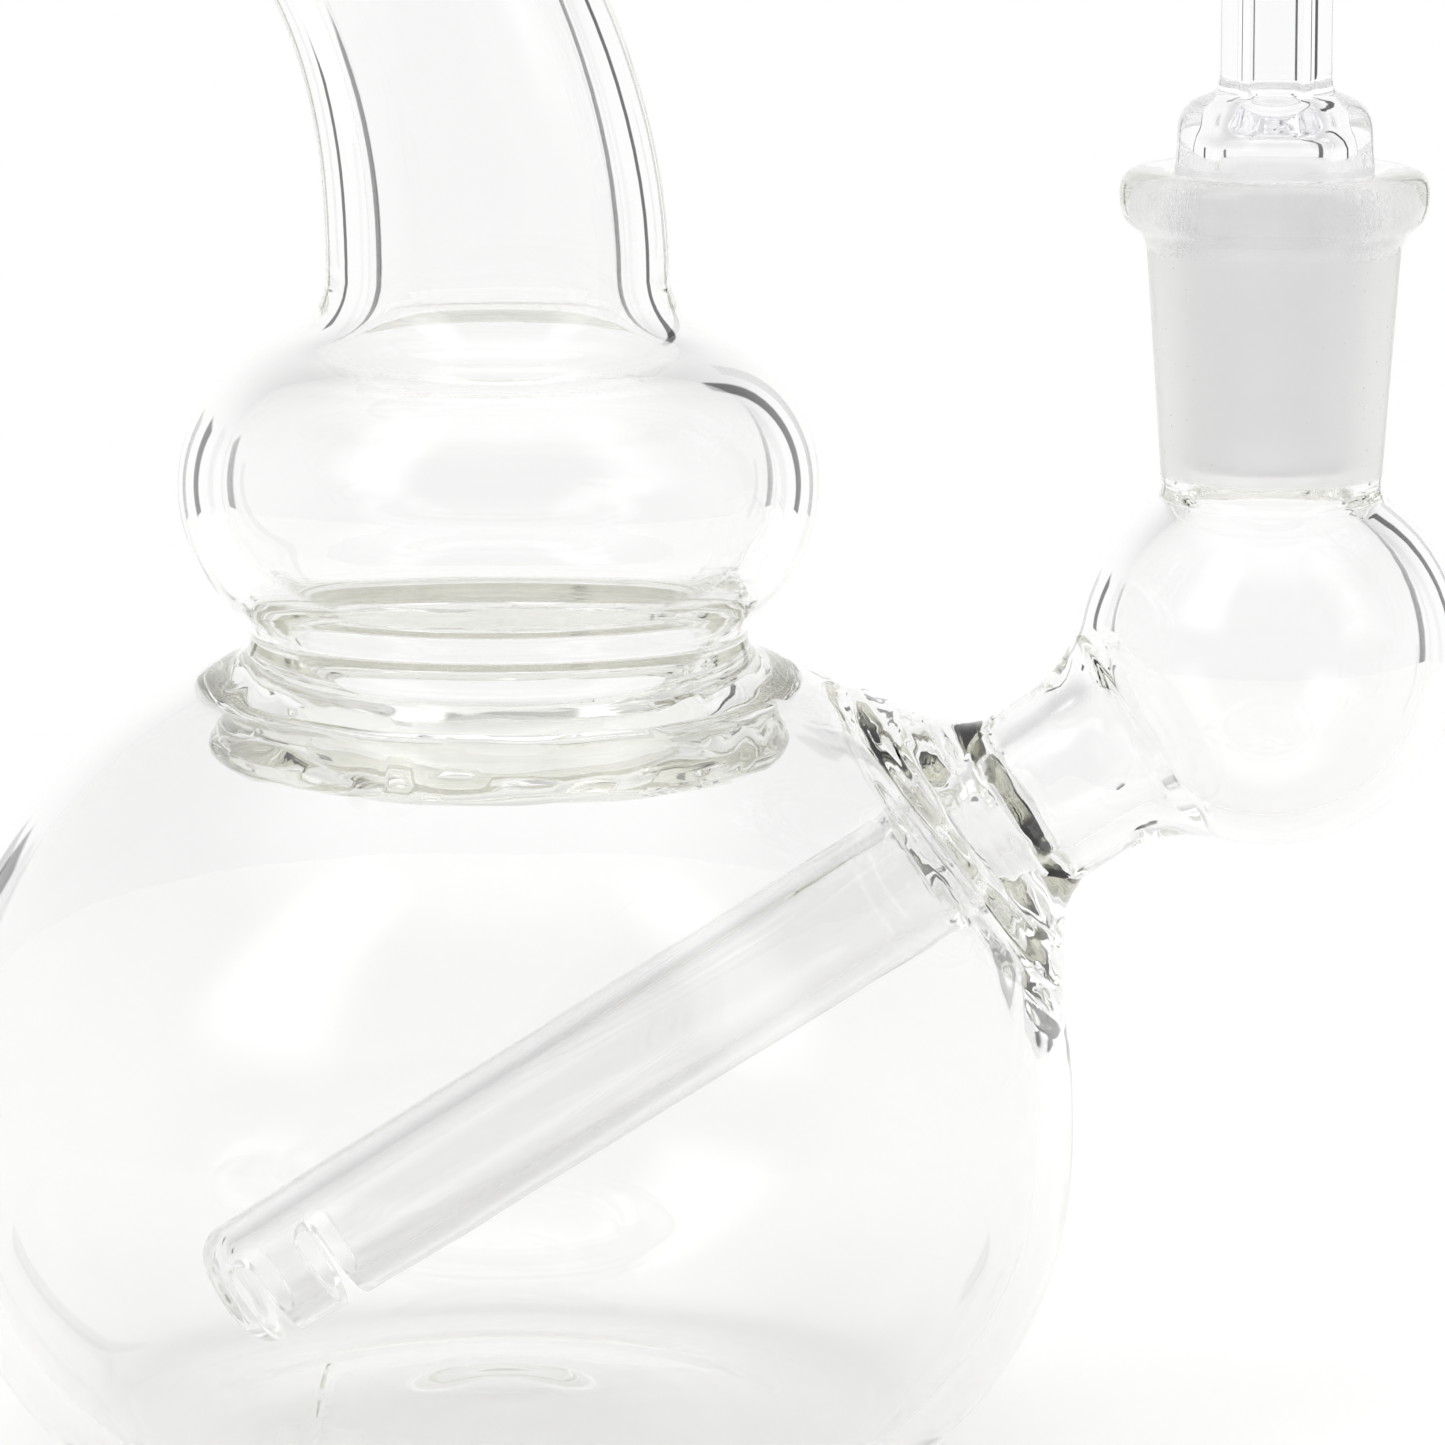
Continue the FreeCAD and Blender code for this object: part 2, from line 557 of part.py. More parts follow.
def insert_shoulder():
    """Clear dome that closes the cone down to the narrow arm."""
    def p(r, z):
        return at(r, z, BALL_X)
    base_r = socket_bore(INSERT_SEAM_Z) - GRIND_GAP
    outer = spline([p(base_r, INSERT_SEAM_Z), p(SHOULDER_R, INSERT_SEAM_Z + 1.9), p(6.9, 100.3), p(6.25, 101.1),
                    p(5.3, 101.55), p(QUARTZ_ARM_R, SHOULDER_TOP_Z)], V(0.01, 0, 1), V(-1, 0, 0.18))
    roof = CAVITY_TOP_Z
    edges = [outer, line(p(QUARTZ_ARM_R, SHOULDER_TOP_Z), p(QUARTZ_BORE_R, SHOULDER_TOP_Z)),
             line(p(QUARTZ_BORE_R, SHOULDER_TOP_Z), p(QUARTZ_BORE_R, roof)),
             line(p(QUARTZ_BORE_R, roof), p(INSERT_BORE_R - 1, roof)),
             Part.Arc(p(INSERT_BORE_R - 1, roof), p(INSERT_BORE_R - 0.293, roof - 0.293),
                      p(INSERT_BORE_R, roof - 1)).toShape(),
             line(p(INSERT_BORE_R, roof - 1), p(INSERT_BORE_R, INSERT_SEAM_Z)),
             line(p(INSERT_BORE_R, INSERT_SEAM_Z), p(base_r, INSERT_SEAM_Z))]
    return turned(edges, V(BALL_X, 0, 0), Z)


def bucket_rod(radius, low, high):
    return Part.makeCylinder(radius, high - low, V(BUCKET_X, 0, low), Z)


def insert_arm():
    """Narrow thick-walled tube: up, round a square elbow and into the side of the bucket."""
    foot = V(BALL_X, 0, SHOULDER_TOP_Z)
    ring_face = annulus(foot, Z, QUARTZ_ARM_R, QUARTZ_BORE_R)
    rise = outward(ring_face.extrude(Z * (ELBOW_Z - SHOULDER_TOP_Z)))
    lifted = ring_face.copy()
    lifted.translate(Z * (ELBOW_Z - SHOULDER_TOP_Z))
    elbow = outward(lifted.revolve(V(BALL_X + ELBOW_R, 0, ELBOW_Z), Y, 90))
    level = V(BALL_X + ELBOW_R, 0, ELBOW_Z + ELBOW_R)
    run = BUCKET_X - level.x
    outlet = Part.makeCylinder(QUARTZ_ARM_R, run, level, X)
    outlet = outlet.cut(Part.makeCylinder(QUARTZ_BORE_R, run, level, X))
    outlet = outlet.cut(bucket_rod(BUCKET_R, BUCKET_LOW_Z, BUCKET_HIGH_Z))
    return rise.fuse(elbow).fuse(outlet).removeSplitter()


def bucket_cup():
    cup = bucket_rod(BUCKET_R, BUCKET_LOW_Z + BUCKET_FLOOR, BUCKET_HIGH_Z)
    rim = [e for e in cup.Edges if abs(e.CenterOfMass.z - BUCKET_HIGH_Z) < 1e-3 and e.Length > BUCKET_R]
    cup = cup.makeFillet(BUCKET_EDGE, rim)
    cup = cup.cut(bucket_rod(BUCKET_R - BUCKET_WALL, BUCKET_LOW_Z, BUCKET_HIGH_Z + 1))
    level = V(BALL_X, 0, ELBOW_Z + ELBOW_R)
    return cup.cut(Part.makeCylinder(QUARTZ_BORE_R, BUCKET_X - BALL_X, level, X))


def bucket_floor():
    disc = bucket_rod(BUCKET_R, BUCKET_LOW_Z, BUCKET_LOW_Z + BUCKET_FLOOR)
    rim = [e for e in disc.Edges if abs(e.CenterOfMass.z - BUCKET_LOW_Z) < 1e-3 and e.Length > BUCKET_R]
    return disc.makeFillet(BUCKET_EDGE, rim)


def main():
    os.makedirs("parts", exist_ok=True)
    wall, seal = chamber_and_seal()
    for name, ring in zip(("chamber_foot", "chamber_lower_wall", "chamber_upper_wall", "chamber_shoulder"),
                          chamber_rings(wall)):
        export(name, ring)
    export("arm_seal", seal)
    export("neck_seal", neck_seal())
    bulb, top_z = neck_bulb()
    export("neck_bulb", bulb)

    place, stops = neck_line(top_z)
    first, run_end, bend_end = stops
    export("neck_lower_bend", drawn_tube(place, 0, first, 9))
    bend = bent_tube(place, run_end, bend_end, LEAN_DEG - MOUTH_LEAN_DEG, 1)
    export("neck_upper_bend", straight_tube(place, first, run_end).fuse(bend).removeSplitter())
    tube, lip = mouth_pieces(place, bend_end)
    export("mouthpiece", tube)
    export("mouth_lip", lip)

    ball, arm = ball_and_arm()
    export("joint_ball", ball)
    export("side_arm", arm)
    export("stem_tube", stem_tube())
    export("diffuser_tip", diffuser_tip())
    export("ground_socket", ground_socket())
    export("socket_rim", socket_rim())

    export("insert_cone", insert_cone())
    export("insert_shoulder", insert_shoulder())
    export("insert_arm", insert_arm())
    export("bucket_cup", bucket_cup())
    export("bucket_floor", bucket_floor())
    mouth, lean = place(bend_end)
    print("mouth tube starts", [round(c, 3) for c in mouth], "along", [round(c, 5) for c in lean])


main()
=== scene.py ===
import json
import math

import bmesh
import bpy
import numpy as np
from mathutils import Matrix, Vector, noise


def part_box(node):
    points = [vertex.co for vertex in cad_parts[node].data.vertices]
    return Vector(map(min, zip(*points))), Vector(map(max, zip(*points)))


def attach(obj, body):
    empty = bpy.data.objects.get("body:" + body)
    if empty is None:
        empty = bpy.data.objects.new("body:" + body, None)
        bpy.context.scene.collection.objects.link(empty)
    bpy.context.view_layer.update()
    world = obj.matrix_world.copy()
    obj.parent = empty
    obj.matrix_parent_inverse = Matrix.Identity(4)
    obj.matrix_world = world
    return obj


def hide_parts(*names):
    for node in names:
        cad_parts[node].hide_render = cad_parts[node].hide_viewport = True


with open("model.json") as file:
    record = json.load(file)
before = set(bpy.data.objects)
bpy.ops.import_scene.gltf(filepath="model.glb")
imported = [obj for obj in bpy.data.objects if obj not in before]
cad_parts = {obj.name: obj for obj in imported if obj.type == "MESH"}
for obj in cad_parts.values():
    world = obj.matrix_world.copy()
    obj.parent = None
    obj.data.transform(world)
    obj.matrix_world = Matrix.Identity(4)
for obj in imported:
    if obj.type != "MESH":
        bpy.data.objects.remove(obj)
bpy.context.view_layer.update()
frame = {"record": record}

# Lengths are in millimetres until a mesh is made; MM turns them into the frame's metres.
MM = 0.001


def mm_box(node):
    low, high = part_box(node)
    return np.array(low) / MM, np.array(high) / MM


# ---- driving dimensions, read from the frame where a CAD node shows them ----
bulb_low, _ = mm_box("neck_bulb")
ball_low, ball_high = mm_box("joint_ball")
_, rim_high = mm_box("socket_rim")
cone_low, cone_high = mm_box("insert_cone")
_, shoulder_high = mm_box("insert_shoulder")
cup_low, cup_high = mm_box("bucket_cup")
floor_low, _ = mm_box("bucket_floor")
_, arm_high = mm_box("insert_arm")
chamber_low, _ = mm_box("chamber_lower_wall")

# chamber: an oval wall on a rounded foot, its floor, and the collar it draws in to
WALL = 2.5
CHAMBER_R, CHAMBER_Z = -chamber_low[0], 25.3    # widest radius, and its height
CHAMBER_TOP_B, CHAMBER_LOW_B = 38.0, 32.0       # the oval's half-heights above and below it
CHAMBER_POWER = 2 / 2.3                         # how square the oval is
COLLAR_R = 20.0
DOME_R, DOME_RISE = 22.0, 2.0                   # the middle of the foot and the floor stands up
DIMPLE_OUT, DIMPLE_IN = 0.7, 0.3
FLOOR_Z = 3.4
FOOT_ROUND, FLOOR_ROUND = 5.0, 2.0
OUTER_LOW_Z, OUTER_TOP_R = 27.0, 21.3           # the stretch of the outer wall that the arm opens
INNER_LOW_Z, INNER_TOP_R = 26.0, 20.9           # the same for the inner wall

# waist and neck bulb, and the thick bead sealed inside the collar
WAIST_Z, WAIST_R, WAIST_ROUND = bulb_low[2], 18.0, 2.5
WAIST_FILLET = (WAIST_R + 0.35, WAIST_Z - 1.06)     # a point on the fillet below the waist
BULGE_R, BULGE_CENTRE_R = 11.8, 11.6
NECK_R, NECK_ROUND, NECK_WALL = 12.5, 4.0, 3.1
BEAD_R, BEAD_Z, BEAD_HALF = 21.3, 54.1, (3.6, 1.9)
BEAD_ARC = (165, 400)

# neck: two bends of one radius with a straight run between them, then the mouth
BEND_R = 52.0
LEAN, MOUTH_LEAN = math.radians(45), math.radians(12)
LEAN_RUN = 11.0
NECK_TOP_R, NECK_TOP_WALL, TAPER_RUN, THIN_RUN = 10.6, 2.4, 32.0, 40.0
MOUTH_RUN, FLARE_RUN, LIP_R, LIP_RISE = 28.0, 9.0, 13.6, 1.9
RING_STEP = 2.0

# ball, side arm with its flare, and the stem in the chamber; t is distance from the ball
BALL_R = ball_high[1]
BALL_X, BALL_Z = ball_high[0] - BALL_R, ball_low[2] + BALL_R
BALL_WALL = 2.3
ARM_ANGLE = math.radians(32.4)
ARM_R, ARM_BORE, ARM_ROUND, ARM_END = 6.8, 4.5, 9.0, 19.4
FLARE_ROUND, FLARE_SLOPE = 4.6, math.radians(49)
FLARE_OUT, SEAL_BLEND = 16.5, 2.6
STEM_R, STEM_BORE, STEM_END = 5.1, 3.4, 91.0
STEM_OUT, STEM_ROUND = 11.5, 3.4
STEM_EVEN = 42.0                                # t at which its columns are evenly spread
BORE_NARROWS = [(23.0, ARM_BORE), (25.0, STEM_BORE), (31.0, STEM_BORE)]
TIP_ROUND, TIP_WALL = 2.6, 1.4
SLIT_WIDTH, SLIT_DEPTH, SLIT_FROM_END = 2.0, 7.4, (2.8, 8.4)
OUTER_REACH, INNER_REACH = (18, 36), (20, 42)   # t between which the chamber's wall lies

# ground socket and its rim
SOCKET_WELD, SOCKET_R_LOW, SOCKET_R_HIGH = 1.2, 8.0, 9.2
SOCKET_TOP, RIM_R = rim_high[2], rim_high[1]
RIM_FOOT_Z, RIM_ROUND, MOUTH_ROUND = 90.2, 1.3, 0.6
CONE_R, CONE_SLOPE = 7.25, 0.05
SOCKET_LOW_Z, HOLLOW_ROUND = 71.0, 0.9
GRIND_GAP = 0.03

# insert: ground cone, shoulder, bent quartz tube and bucket
INSERT_LOW, INSERT_SEAM = cone_low[2], cone_high[2]
INSERT_BORE, CAVITY_TOP = 4.1, 98.2
SHOULDER_TOP = shoulder_high[2]
SHOULDER_LINE = [(5.3, SHOULDER_TOP - 0.25), (6.25, 101.1), (6.9, 100.3), (7.12, 99.2),
                 (7.12, 98.0)]
QUARTZ_R, QUARTZ_BORE = 4.1, 1.9
ELBOW_R = 9.0
ELBOW_Z = arm_high[2] - QUARTZ_R - ELBOW_R
BUCKET_X = (cup_low[0] + cup_high[0]) / 2
BUCKET_R, BUCKET_WALL = cup_high[1], 2.0
BUCKET_LOW, BUCKET_FLOOR, BUCKET_HIGH = floor_low[2], cup_low[2], cup_high[2]
BUCKET_EDGE, BUCKET_CORNER = 0.6, 1.0
INLET_LOW, INLET_HIGH = 112.6, 127.4    # the bucket wall's open stretch
INLET_RUN = 5.0                         # the tube's straight end
INLET_REACH = (0, 20)
INLET_WELD, INLET_LIP = 1.3, 0.4

COLUMNS, BUCKET_COLUMNS = 160, 96       # columns round the chamber and neck, and the bucket
HALF_BLOCK, BLOCK_ROWS = 15, 34         # cells left open for the arm: half-width in columns, rows
HALF_INLET, INLET_ROWS = 10, 16         # and for the bucket's inlet


# ---- curves ----
def arc(centre, radius, start_deg, end_deg, count=40):
    a = np.radians(np.linspace(start_deg, end_deg, count))
    return np.column_stack([centre[0] + radius * np.cos(a), centre[1] + radius * np.sin(a)])


def arc_through(a, b, c, count=30):
    """Circular arc from a over b to c in a plane."""
    a, b, c = (np.array(p, float) for p in (a, b, c))
    m = np.array([b - a, c - a]) * 2
    centre = np.linalg.solve(m, [b @ b - a @ a, c @ c - a @ a])
    angles = [math.atan2(*(p - centre)[::-1]) for p in (a, b, c)]
    turns = np.unwrap(angles)
    t = np.linspace(turns[0], turns[2], count)
    radius = np.linalg.norm(a - centre)
    return centre + radius * np.column_stack([np.cos(t), np.sin(t)])


def joined(*parts):
    """One polyline from several, dropping repeated points."""
    line = np.vstack([np.array(p, float).reshape(-1, 2) for p in parts])
    keep = np.r_[True, np.linalg.norm(np.diff(line, axis=0), axis=1) > 1e-6]
    return line[keep]


def even(line, spacing=None, count=None):
    """The polyline resampled at even steps, ends kept."""
    length = np.r_[0, np.cumsum(np.linalg.norm(np.diff(line, axis=0), axis=1))]
    count = count or max(2, int(round(length[-1] / spacing)))
    at = np.linspace(0, length[-1], count + 1)
    return np.column_stack([np.interp(at, length, line[:, c]) for c in range(line.shape[1])])


def softened(line, passes):
    line = line.copy()
    for _ in range(passes):
        line[1:-1] = line[1:-1] / 2 + (line[:-2] + line[2:]) / 4
    return line


def split(line, column, value):
    """Cuts a polyline in two where its column first passes value."""
    side = line[:, column] > value
    k = int(np.argmax(side != side[0]))
    a, b = line[k - 1], line[k]
    p = a + (b - a) * (value - a[column]) / (b[column] - a[column])
    return np.vstack([line[:k], p]), np.vstack([p, line[k:]])


def ease(t):
    t = np.clip(t, 0, 1)
    return t * t * (3 - 2 * t)


# ---- the chamber's and the neck's profiles ----
def chamber_wall(inset):
    """Wall curve from under the foot up to the collar."""
    a = CHAMBER_R - inset
    low_b, high_b = CHAMBER_LOW_B - inset, CHAMBER_TOP_B - inset
    t = np.linspace(math.pi / 2, 0, 400)
    low = np.column_stack([a * np.cos(t) ** CHAMBER_POWER,
                           CHAMBER_Z - low_b * np.sin(t) ** CHAMBER_POWER])
    t = np.linspace(0, math.acos((COLLAR_R / a) ** (1 / CHAMBER_POWER)), 400)
    high = np.column_stack([a * np.cos(t) ** CHAMBER_POWER,
                            CHAMBER_Z + high_b * np.sin(t) ** CHAMBER_POWER])
    return joined(low, high)


def chamber_profile(inset, low_z, rounding, dimple):
    """From the axis along the foot, round its edge and up the wall to the collar."""
    wall = chamber_wall(inset)
    tangent = np.gradient(wall, axis=0)
    tangent /= np.linalg.norm(tangent, axis=1)[:, None]
    centres = wall + np.column_stack([-tangent[:, 1], tangent[:, 0]]) * rounding
    k = int(np.argmax(centres[:, 1] > low_z + rounding))
    centre = np.array([centres[k][0], low_z + rounding])
    last = math.degrees(math.atan2(*(wall[k] - centre)[::-1]))
    r = np.linspace(0, DOME_R, 30)
    rise = DOME_RISE * (1 - (r / DOME_R) ** 2) + dimple * (1 - ease((r - 3.0) / 2.6))
    dome = np.column_stack([r, low_z + rise])
    return joined(dome, arc(centre, rounding, -90, last), wall[k:])


def bulb_profile(inset):
    """The neck bulb from the waist up to the neck tube."""
    bulge = BULGE_R - inset
    dz = math.sqrt((BULGE_R + WAIST_ROUND) ** 2 - (WAIST_R + WAIST_ROUND - BULGE_CENTRE_R) ** 2)
    middle = (BULGE_CENTRE_R, WAIST_Z + dz)
    low_a = math.degrees(math.atan2(-dz, WAIST_R + WAIST_ROUND - BULGE_CENTRE_R))
    dr = NECK_R + NECK_ROUND - BULGE_CENTRE_R
    top = math.sqrt((BULGE_R + NECK_ROUND) ** 2 - dr ** 2)
    top_a = math.degrees(math.atan2(top, dr))
    return joined(arc((WAIST_R + WAIST_ROUND, WAIST_Z), WAIST_ROUND + inset, 180, 180 + low_a),
                  arc(middle, bulge, low_a, top_a, 120),
                  arc((NECK_R + NECK_ROUND, WAIST_Z + dz + top), NECK_ROUND + inset, 180 + top_a, 180))


def neck_place(s, start):
    """Centre and lean of the neck at length s along its centreline."""
    first, second = BEND_R * LEAN, BEND_R * (LEAN - MOUTH_LEAN)
    if s <= first:
        a = s / BEND_R
        return -BEND_R * (1 - math.cos(a)), start + BEND_R * math.sin(a), a
    x, z = -BEND_R * (1 - math.cos(LEAN)), start + BEND_R * math.sin(LEAN)
    run = min(s - first, LEAN_RUN)
    x, z = x - math.sin(LEAN) * run, z + math.cos(LEAN) * run
    s -= first + LEAN_RUN
    if s <= 0:
        return x, z, LEAN
    a = LEAN - min(s, second) / BEND_R
    x, z = x - (math.cos(a) - math.cos(LEAN)) * BEND_R, z + (math.sin(LEAN) - math.sin(a)) * BEND_R
    s = max(s - second, 0)
    return x - math.sin(a) * s, z + math.cos(a) * s, a


def neck_stations(start, inner):
    """Rings up the neck: centre x, centre z, lean, radius."""
    bends = BEND_R * (2 * LEAN - MOUTH_LEAN) + LEAN_RUN
    rings = []
    for s in np.arange(RING_STEP, bends + MOUTH_RUN - FLARE_RUN, RING_STEP):
        share = ease(s / TAPER_RUN)
        radius = NECK_R + (NECK_TOP_R - NECK_R) * share
        wall = NECK_WALL + (NECK_TOP_WALL - NECK_WALL) * ease(s / THIN_RUN)
        rings.append([*neck_place(s, start), radius - (wall if inner else 0)])
    base = NECK_TOP_R - (NECK_TOP_WALL if inner else 0)
    x, z, a = neck_place(bends, start)
    grow = (LIP_R - NECK_TOP_R) * np.linspace(0, 1, 10) ** 2.2
    at = MOUTH_RUN - FLARE_RUN + FLARE_RUN * np.linspace(0, 1, 10)
    flare = np.column_stack([at, base + grow])
    if not inner:
        crest = (MOUTH_RUN + LIP_RISE, LIP_R - NECK_TOP_WALL / 2 + 0.2)
        lip = arc_through((MOUTH_RUN, LIP_R), crest, (MOUTH_RUN, LIP_R - NECK_TOP_WALL), 14)
        flare = joined(flare, lip)[:-1]
    rings += [[x - math.sin(a) * t, z + math.cos(a) * t, a, r] for t, r in flare]
    return np.array(rings)


def upright(line):
    return np.column_stack([np.zeros(len(line)), line[:, 1], np.zeros(len(line)), line[:, 0]])


# ---- surfaces ----
class Shell:
    """Collects the points and faces of one closed mesh."""

    def __init__(self):
        self.points = []
        self.faces = []
        self.count = 0

    def add(self, grid):
        flat = np.asarray(grid, float).reshape(-1, 3)
        index = np.arange(self.count, self.count + len(flat)).reshape(np.shape(grid)[:-1])
        self.points.append(flat)
        self.count += len(flat)
        return index

    def band(self, a, b, keep=None):
        """Quads between two rings of equal count."""
        quads = np.stack([a, np.roll(a, -1), np.roll(b, -1), b], 1)
        self.faces += (quads if keep is None else quads[keep]).tolist()

    def cap(self, ring, pole):
        tip = int(self.add(np.array([pole]))[0])
        self.faces += [[a, b, tip] for a, b in zip(ring.tolist(), np.roll(ring, -1).tolist())]

    def mesh(self, name):
        """The closed mesh, in metres."""
        data = bpy.data.meshes.new(name)
        data.from_pydata((np.vstack(self.points) * MM).tolist(), [], self.faces)
        work = bmesh.new()
        work.from_mesh(data)
        bmesh.ops.remove_doubles(work, verts=work.verts, dist=1e-7)
        bmesh.ops.recalc_face_normals(work, faces=work.faces)
        work.to_mesh(data)
        work.free()
        return data


class Lathe:
    """Rings of a turned or swept wall; blocks of its cells can be left open for a tube."""

    def __init__(self, shell, stations, columns, centre_x=0.0, facing=0.0):
        self.shell, self.s, self.n = shell, stations, columns
        self.centre_x, self.facing = centre_x, facing
        angle = facing + 2 * np.pi * np.arange(columns) / columns
        x0, z0, lean, r = (stations[:, c, None] for c in range(4))
        grid = np.stack([x0 + r * np.cos(angle) * np.cos(lean), r * np.sin(angle) + 0 * x0,
                         z0 + r * np.cos(angle) * np.sin(lean)], -1)
        self.index = shell.add(grid)

    def surface(self, i, j):
        """Point at fractional column i and row j of an upright stretch, smooth between rows."""
        j = np.clip(j, 0, len(self.s) - 1.001)
        k = np.floor(j).astype(int)
        u = j - k
        rows = [self.s[np.clip(k + d, 0, len(self.s) - 1)] for d in (-1, 0, 1, 2)]
        w = [(-u + 2 * u ** 2 - u ** 3) / 2, (2 - 5 * u ** 2 + 3 * u ** 3) / 2,
             (u + 4 * u ** 2 - 3 * u ** 3) / 2, (-u ** 2 + u ** 3) / 2]
        z = sum(a * row[..., 1] for a, row in zip(w, rows))
        r = sum(a * row[..., 3] for a, row in zip(w, rows))
        angle = self.facing + 2 * np.pi * i / self.n
        return np.stack([self.centre_x + r * np.cos(angle), r * np.sin(angle), z], -1)

    def crossing(self, axis, r, phi, block, t_low, t_high):
        """Where lines r from a tube's axis enter this wall: t along the axis, column, row."""
        rows = np.arange(block[0], block[1] + 1)
        z, radius = self.s[rows, 1], self.s[rows, 3]
        order = np.argsort(z)
        low = np.full(np.shape(phi), float(t_low))
        high = np.full(np.shape(phi), float(t_high))
        for _ in range(50):
            mid = (low + high) / 2
            p = axis.point(mid, r, phi)
            wall_r = np.interp(p[..., 2], z[order], radius[order])
            outside = np.hypot(p[..., 0] - self.centre_x, p[..., 1]) > wall_r
            low, high = np.where(outside, mid, low), np.where(outside, high, mid)
        p = axis.point(low, r, phi)
        turn = np.arctan2(p[..., 1], p[..., 0] - self.centre_x) - self.facing
        turn = (turn + np.pi) % (2 * np.pi) - np.pi
        row = np.interp(p[..., 2], z[order], rows[order].astype(float))
        return low, turn / (2 * np.pi) * self.n, row

    def build(self, blocks=()):
        """Faces between all rows but for the blocks: first row, last row, half-width in columns."""
        columns = (np.arange(self.n) + self.n // 2) % self.n - self.n // 2
        for row in range(len(self.s) - 1):
            keep = np.ones(self.n, bool)
            for first, last, half in blocks:
                if first <= row < last:
                    keep &= ~((columns >= -half) & (columns < half))
            self.shell.band(self.index[row], self.index[row + 1], keep)

    def around(self, block):
        """The block's edge as a closed list of (column, row) and the indices of its points."""
        first, last, half = block
        edge = [(i, first) for i in range(-half, half)] + [(half, j) for j in range(first, last)]
        edge += [(i, last) for i in range(half, -half, -1)]
        edge += [(-half, j) for j in range(last, first, -1)]
        i, j = np.array(edge).T
        return i, j, self.index[j, i % self.n]


class Axis:
    """A tube's straight axis: t runs along it, r and phi round it."""

    def __init__(self, origin, along, up):
        self.origin, self.along, self.up = (np.array(v, float) for v in (origin, along, up))
        self.side = np.array([0.0, 1.0, 0.0])

    def point(self, t, r, phi):
        t, r, phi = np.broadcast_arrays(t, r, phi)
        return (self.origin + t[..., None] * self.along
                + (r * np.cos(phi))[..., None] * self.up + (r * np.sin(phi))[..., None] * self.side)

    def angle(self, points):
        off = points - self.origin
        return np.unwrap(np.arctan2(off @ self.side, off @ self.up))


UPRIGHT = Axis((BALL_X, 0, 0), (0, 0, 1), (1, 0, 0))    # through the ball, the socket and the insert


def pierce(lathe, block, axis, radius, t_range, rings):
    """Closes the space between an open block's edge and the circle a tube of that radius cuts."""
    i, j, edge = lathe.around(block)
    phi = axis.angle(lathe.surface(i.astype(float), j.astype(float)))
    _, hole_i, hole_j = lathe.crossing(axis, radius, phi, block, *t_range)
    previous = edge
    for share in np.linspace(0, 1, rings + 1)[1:]:
        row = lathe.shell.add(lathe.surface(i + (hole_i - i) * share, j + (hole_j - j) * share))
        lathe.shell.band(previous, row)
        previous = row
    return previous, phi


def evened(phi):
    """The same number of angles, evenly spread, in the same direction."""
    step = 2 * np.pi / len(phi) * np.sign(phi[1] - phi[0])
    start = np.mean(phi - step * np.arange(len(phi)))
    return start + step * np.arange(len(phi))


def soft_min(a, b, k):
    h = np.clip(0.5 + 0.5 * (b - a) / np.maximum(k, 1e-6), 0, 1)
    return b + (a - b) * h - k * h * (1 - h)


def socket_bore(z):
    return CONE_R - CONE_SLOPE * (SOCKET_TOP - z)


# ---- the vessel ----
def vessel_stations():
    """All rings from the foot's middle up the outside, over the lip and down the inside."""
    outer = chamber_profile(0, 0, FOOT_ROUND, DIMPLE_OUT)
    inner = chamber_profile(WALL, FLOOR_Z, FLOOR_ROUND, DIMPLE_IN)
    outer_low, outer_rest = split(outer, 1, OUTER_LOW_Z)
    outer_block, outer_top = cut_top(outer_rest, OUTER_TOP_R)
    inner_low, inner_rest = split(inner, 1, INNER_LOW_Z)
    inner_block, inner_top = cut_top(inner_rest, INNER_TOP_R)
    collar, under = outer_top[-1], inner_top[-1]
    fillet = arc_through(collar, WAIST_FILLET, (WAIST_R, WAIST_Z))
    bulb_out, bulb_in = bulb_profile(0), bulb_profile(NECK_WALL)
    outside = softened(even(joined(outer_top, fillet, bulb_out), 0.8), 2)
    bore = WAIST_R - NECK_WALL
    turn = np.radians(np.linspace(*BEAD_ARC, 40))
    wide, tall = BEAD_HALF
    bead = np.column_stack([BEAD_R - wide + wide * np.cos(turn), BEAD_Z + tall * np.sin(turn)])
    hang = joined([(bore, WAIST_Z), (bore, BEAD_Z + tall + 0.9)], bead,
                  [(COLLAR_R - 0.3, BEAD_Z + tall + 0.5)], [under - (0.2, 0.2)], inner_top[::-1][1:])
    inside = softened(even(joined(bulb_in[::-1], hang), 0.7), 3)
    start = bulb_out[-1][1]
    low_out = softened(even(outer_low, 1.5), 1)
    low_in = softened(even(inner_low, 1.6), 1)
    block_out = even(outer_block, count=BLOCK_ROWS)
    block_in = even(inner_block, count=BLOCK_ROWS)
    parts = [upright(low_out[1:-1]), upright(block_out), upright(outside[1:]),
             neck_stations(start, False), neck_stations(start, True)[::-1],
             upright(inside[:-1]), upright(block_in[::-1]), upright(low_in[::-1][1:-1])]
    starts = np.cumsum([0] + [len(p) for p in parts])
    blocks = [(first, first + BLOCK_ROWS, HALF_BLOCK) for first in (starts[1], starts[6])]
    return np.vstack(parts), blocks, (low_out[0], low_in[0])


def cut_top(line, radius):
    """The wall below and above the place where it has drawn in to that radius."""
    k = int(np.argmax((line[:, 0] < radius) & (line[:, 1] > CHAMBER_Z)))
    return line[:k + 1], line[k:]


def cosine(angle):
    return math.cos(angle), math.sin(angle)


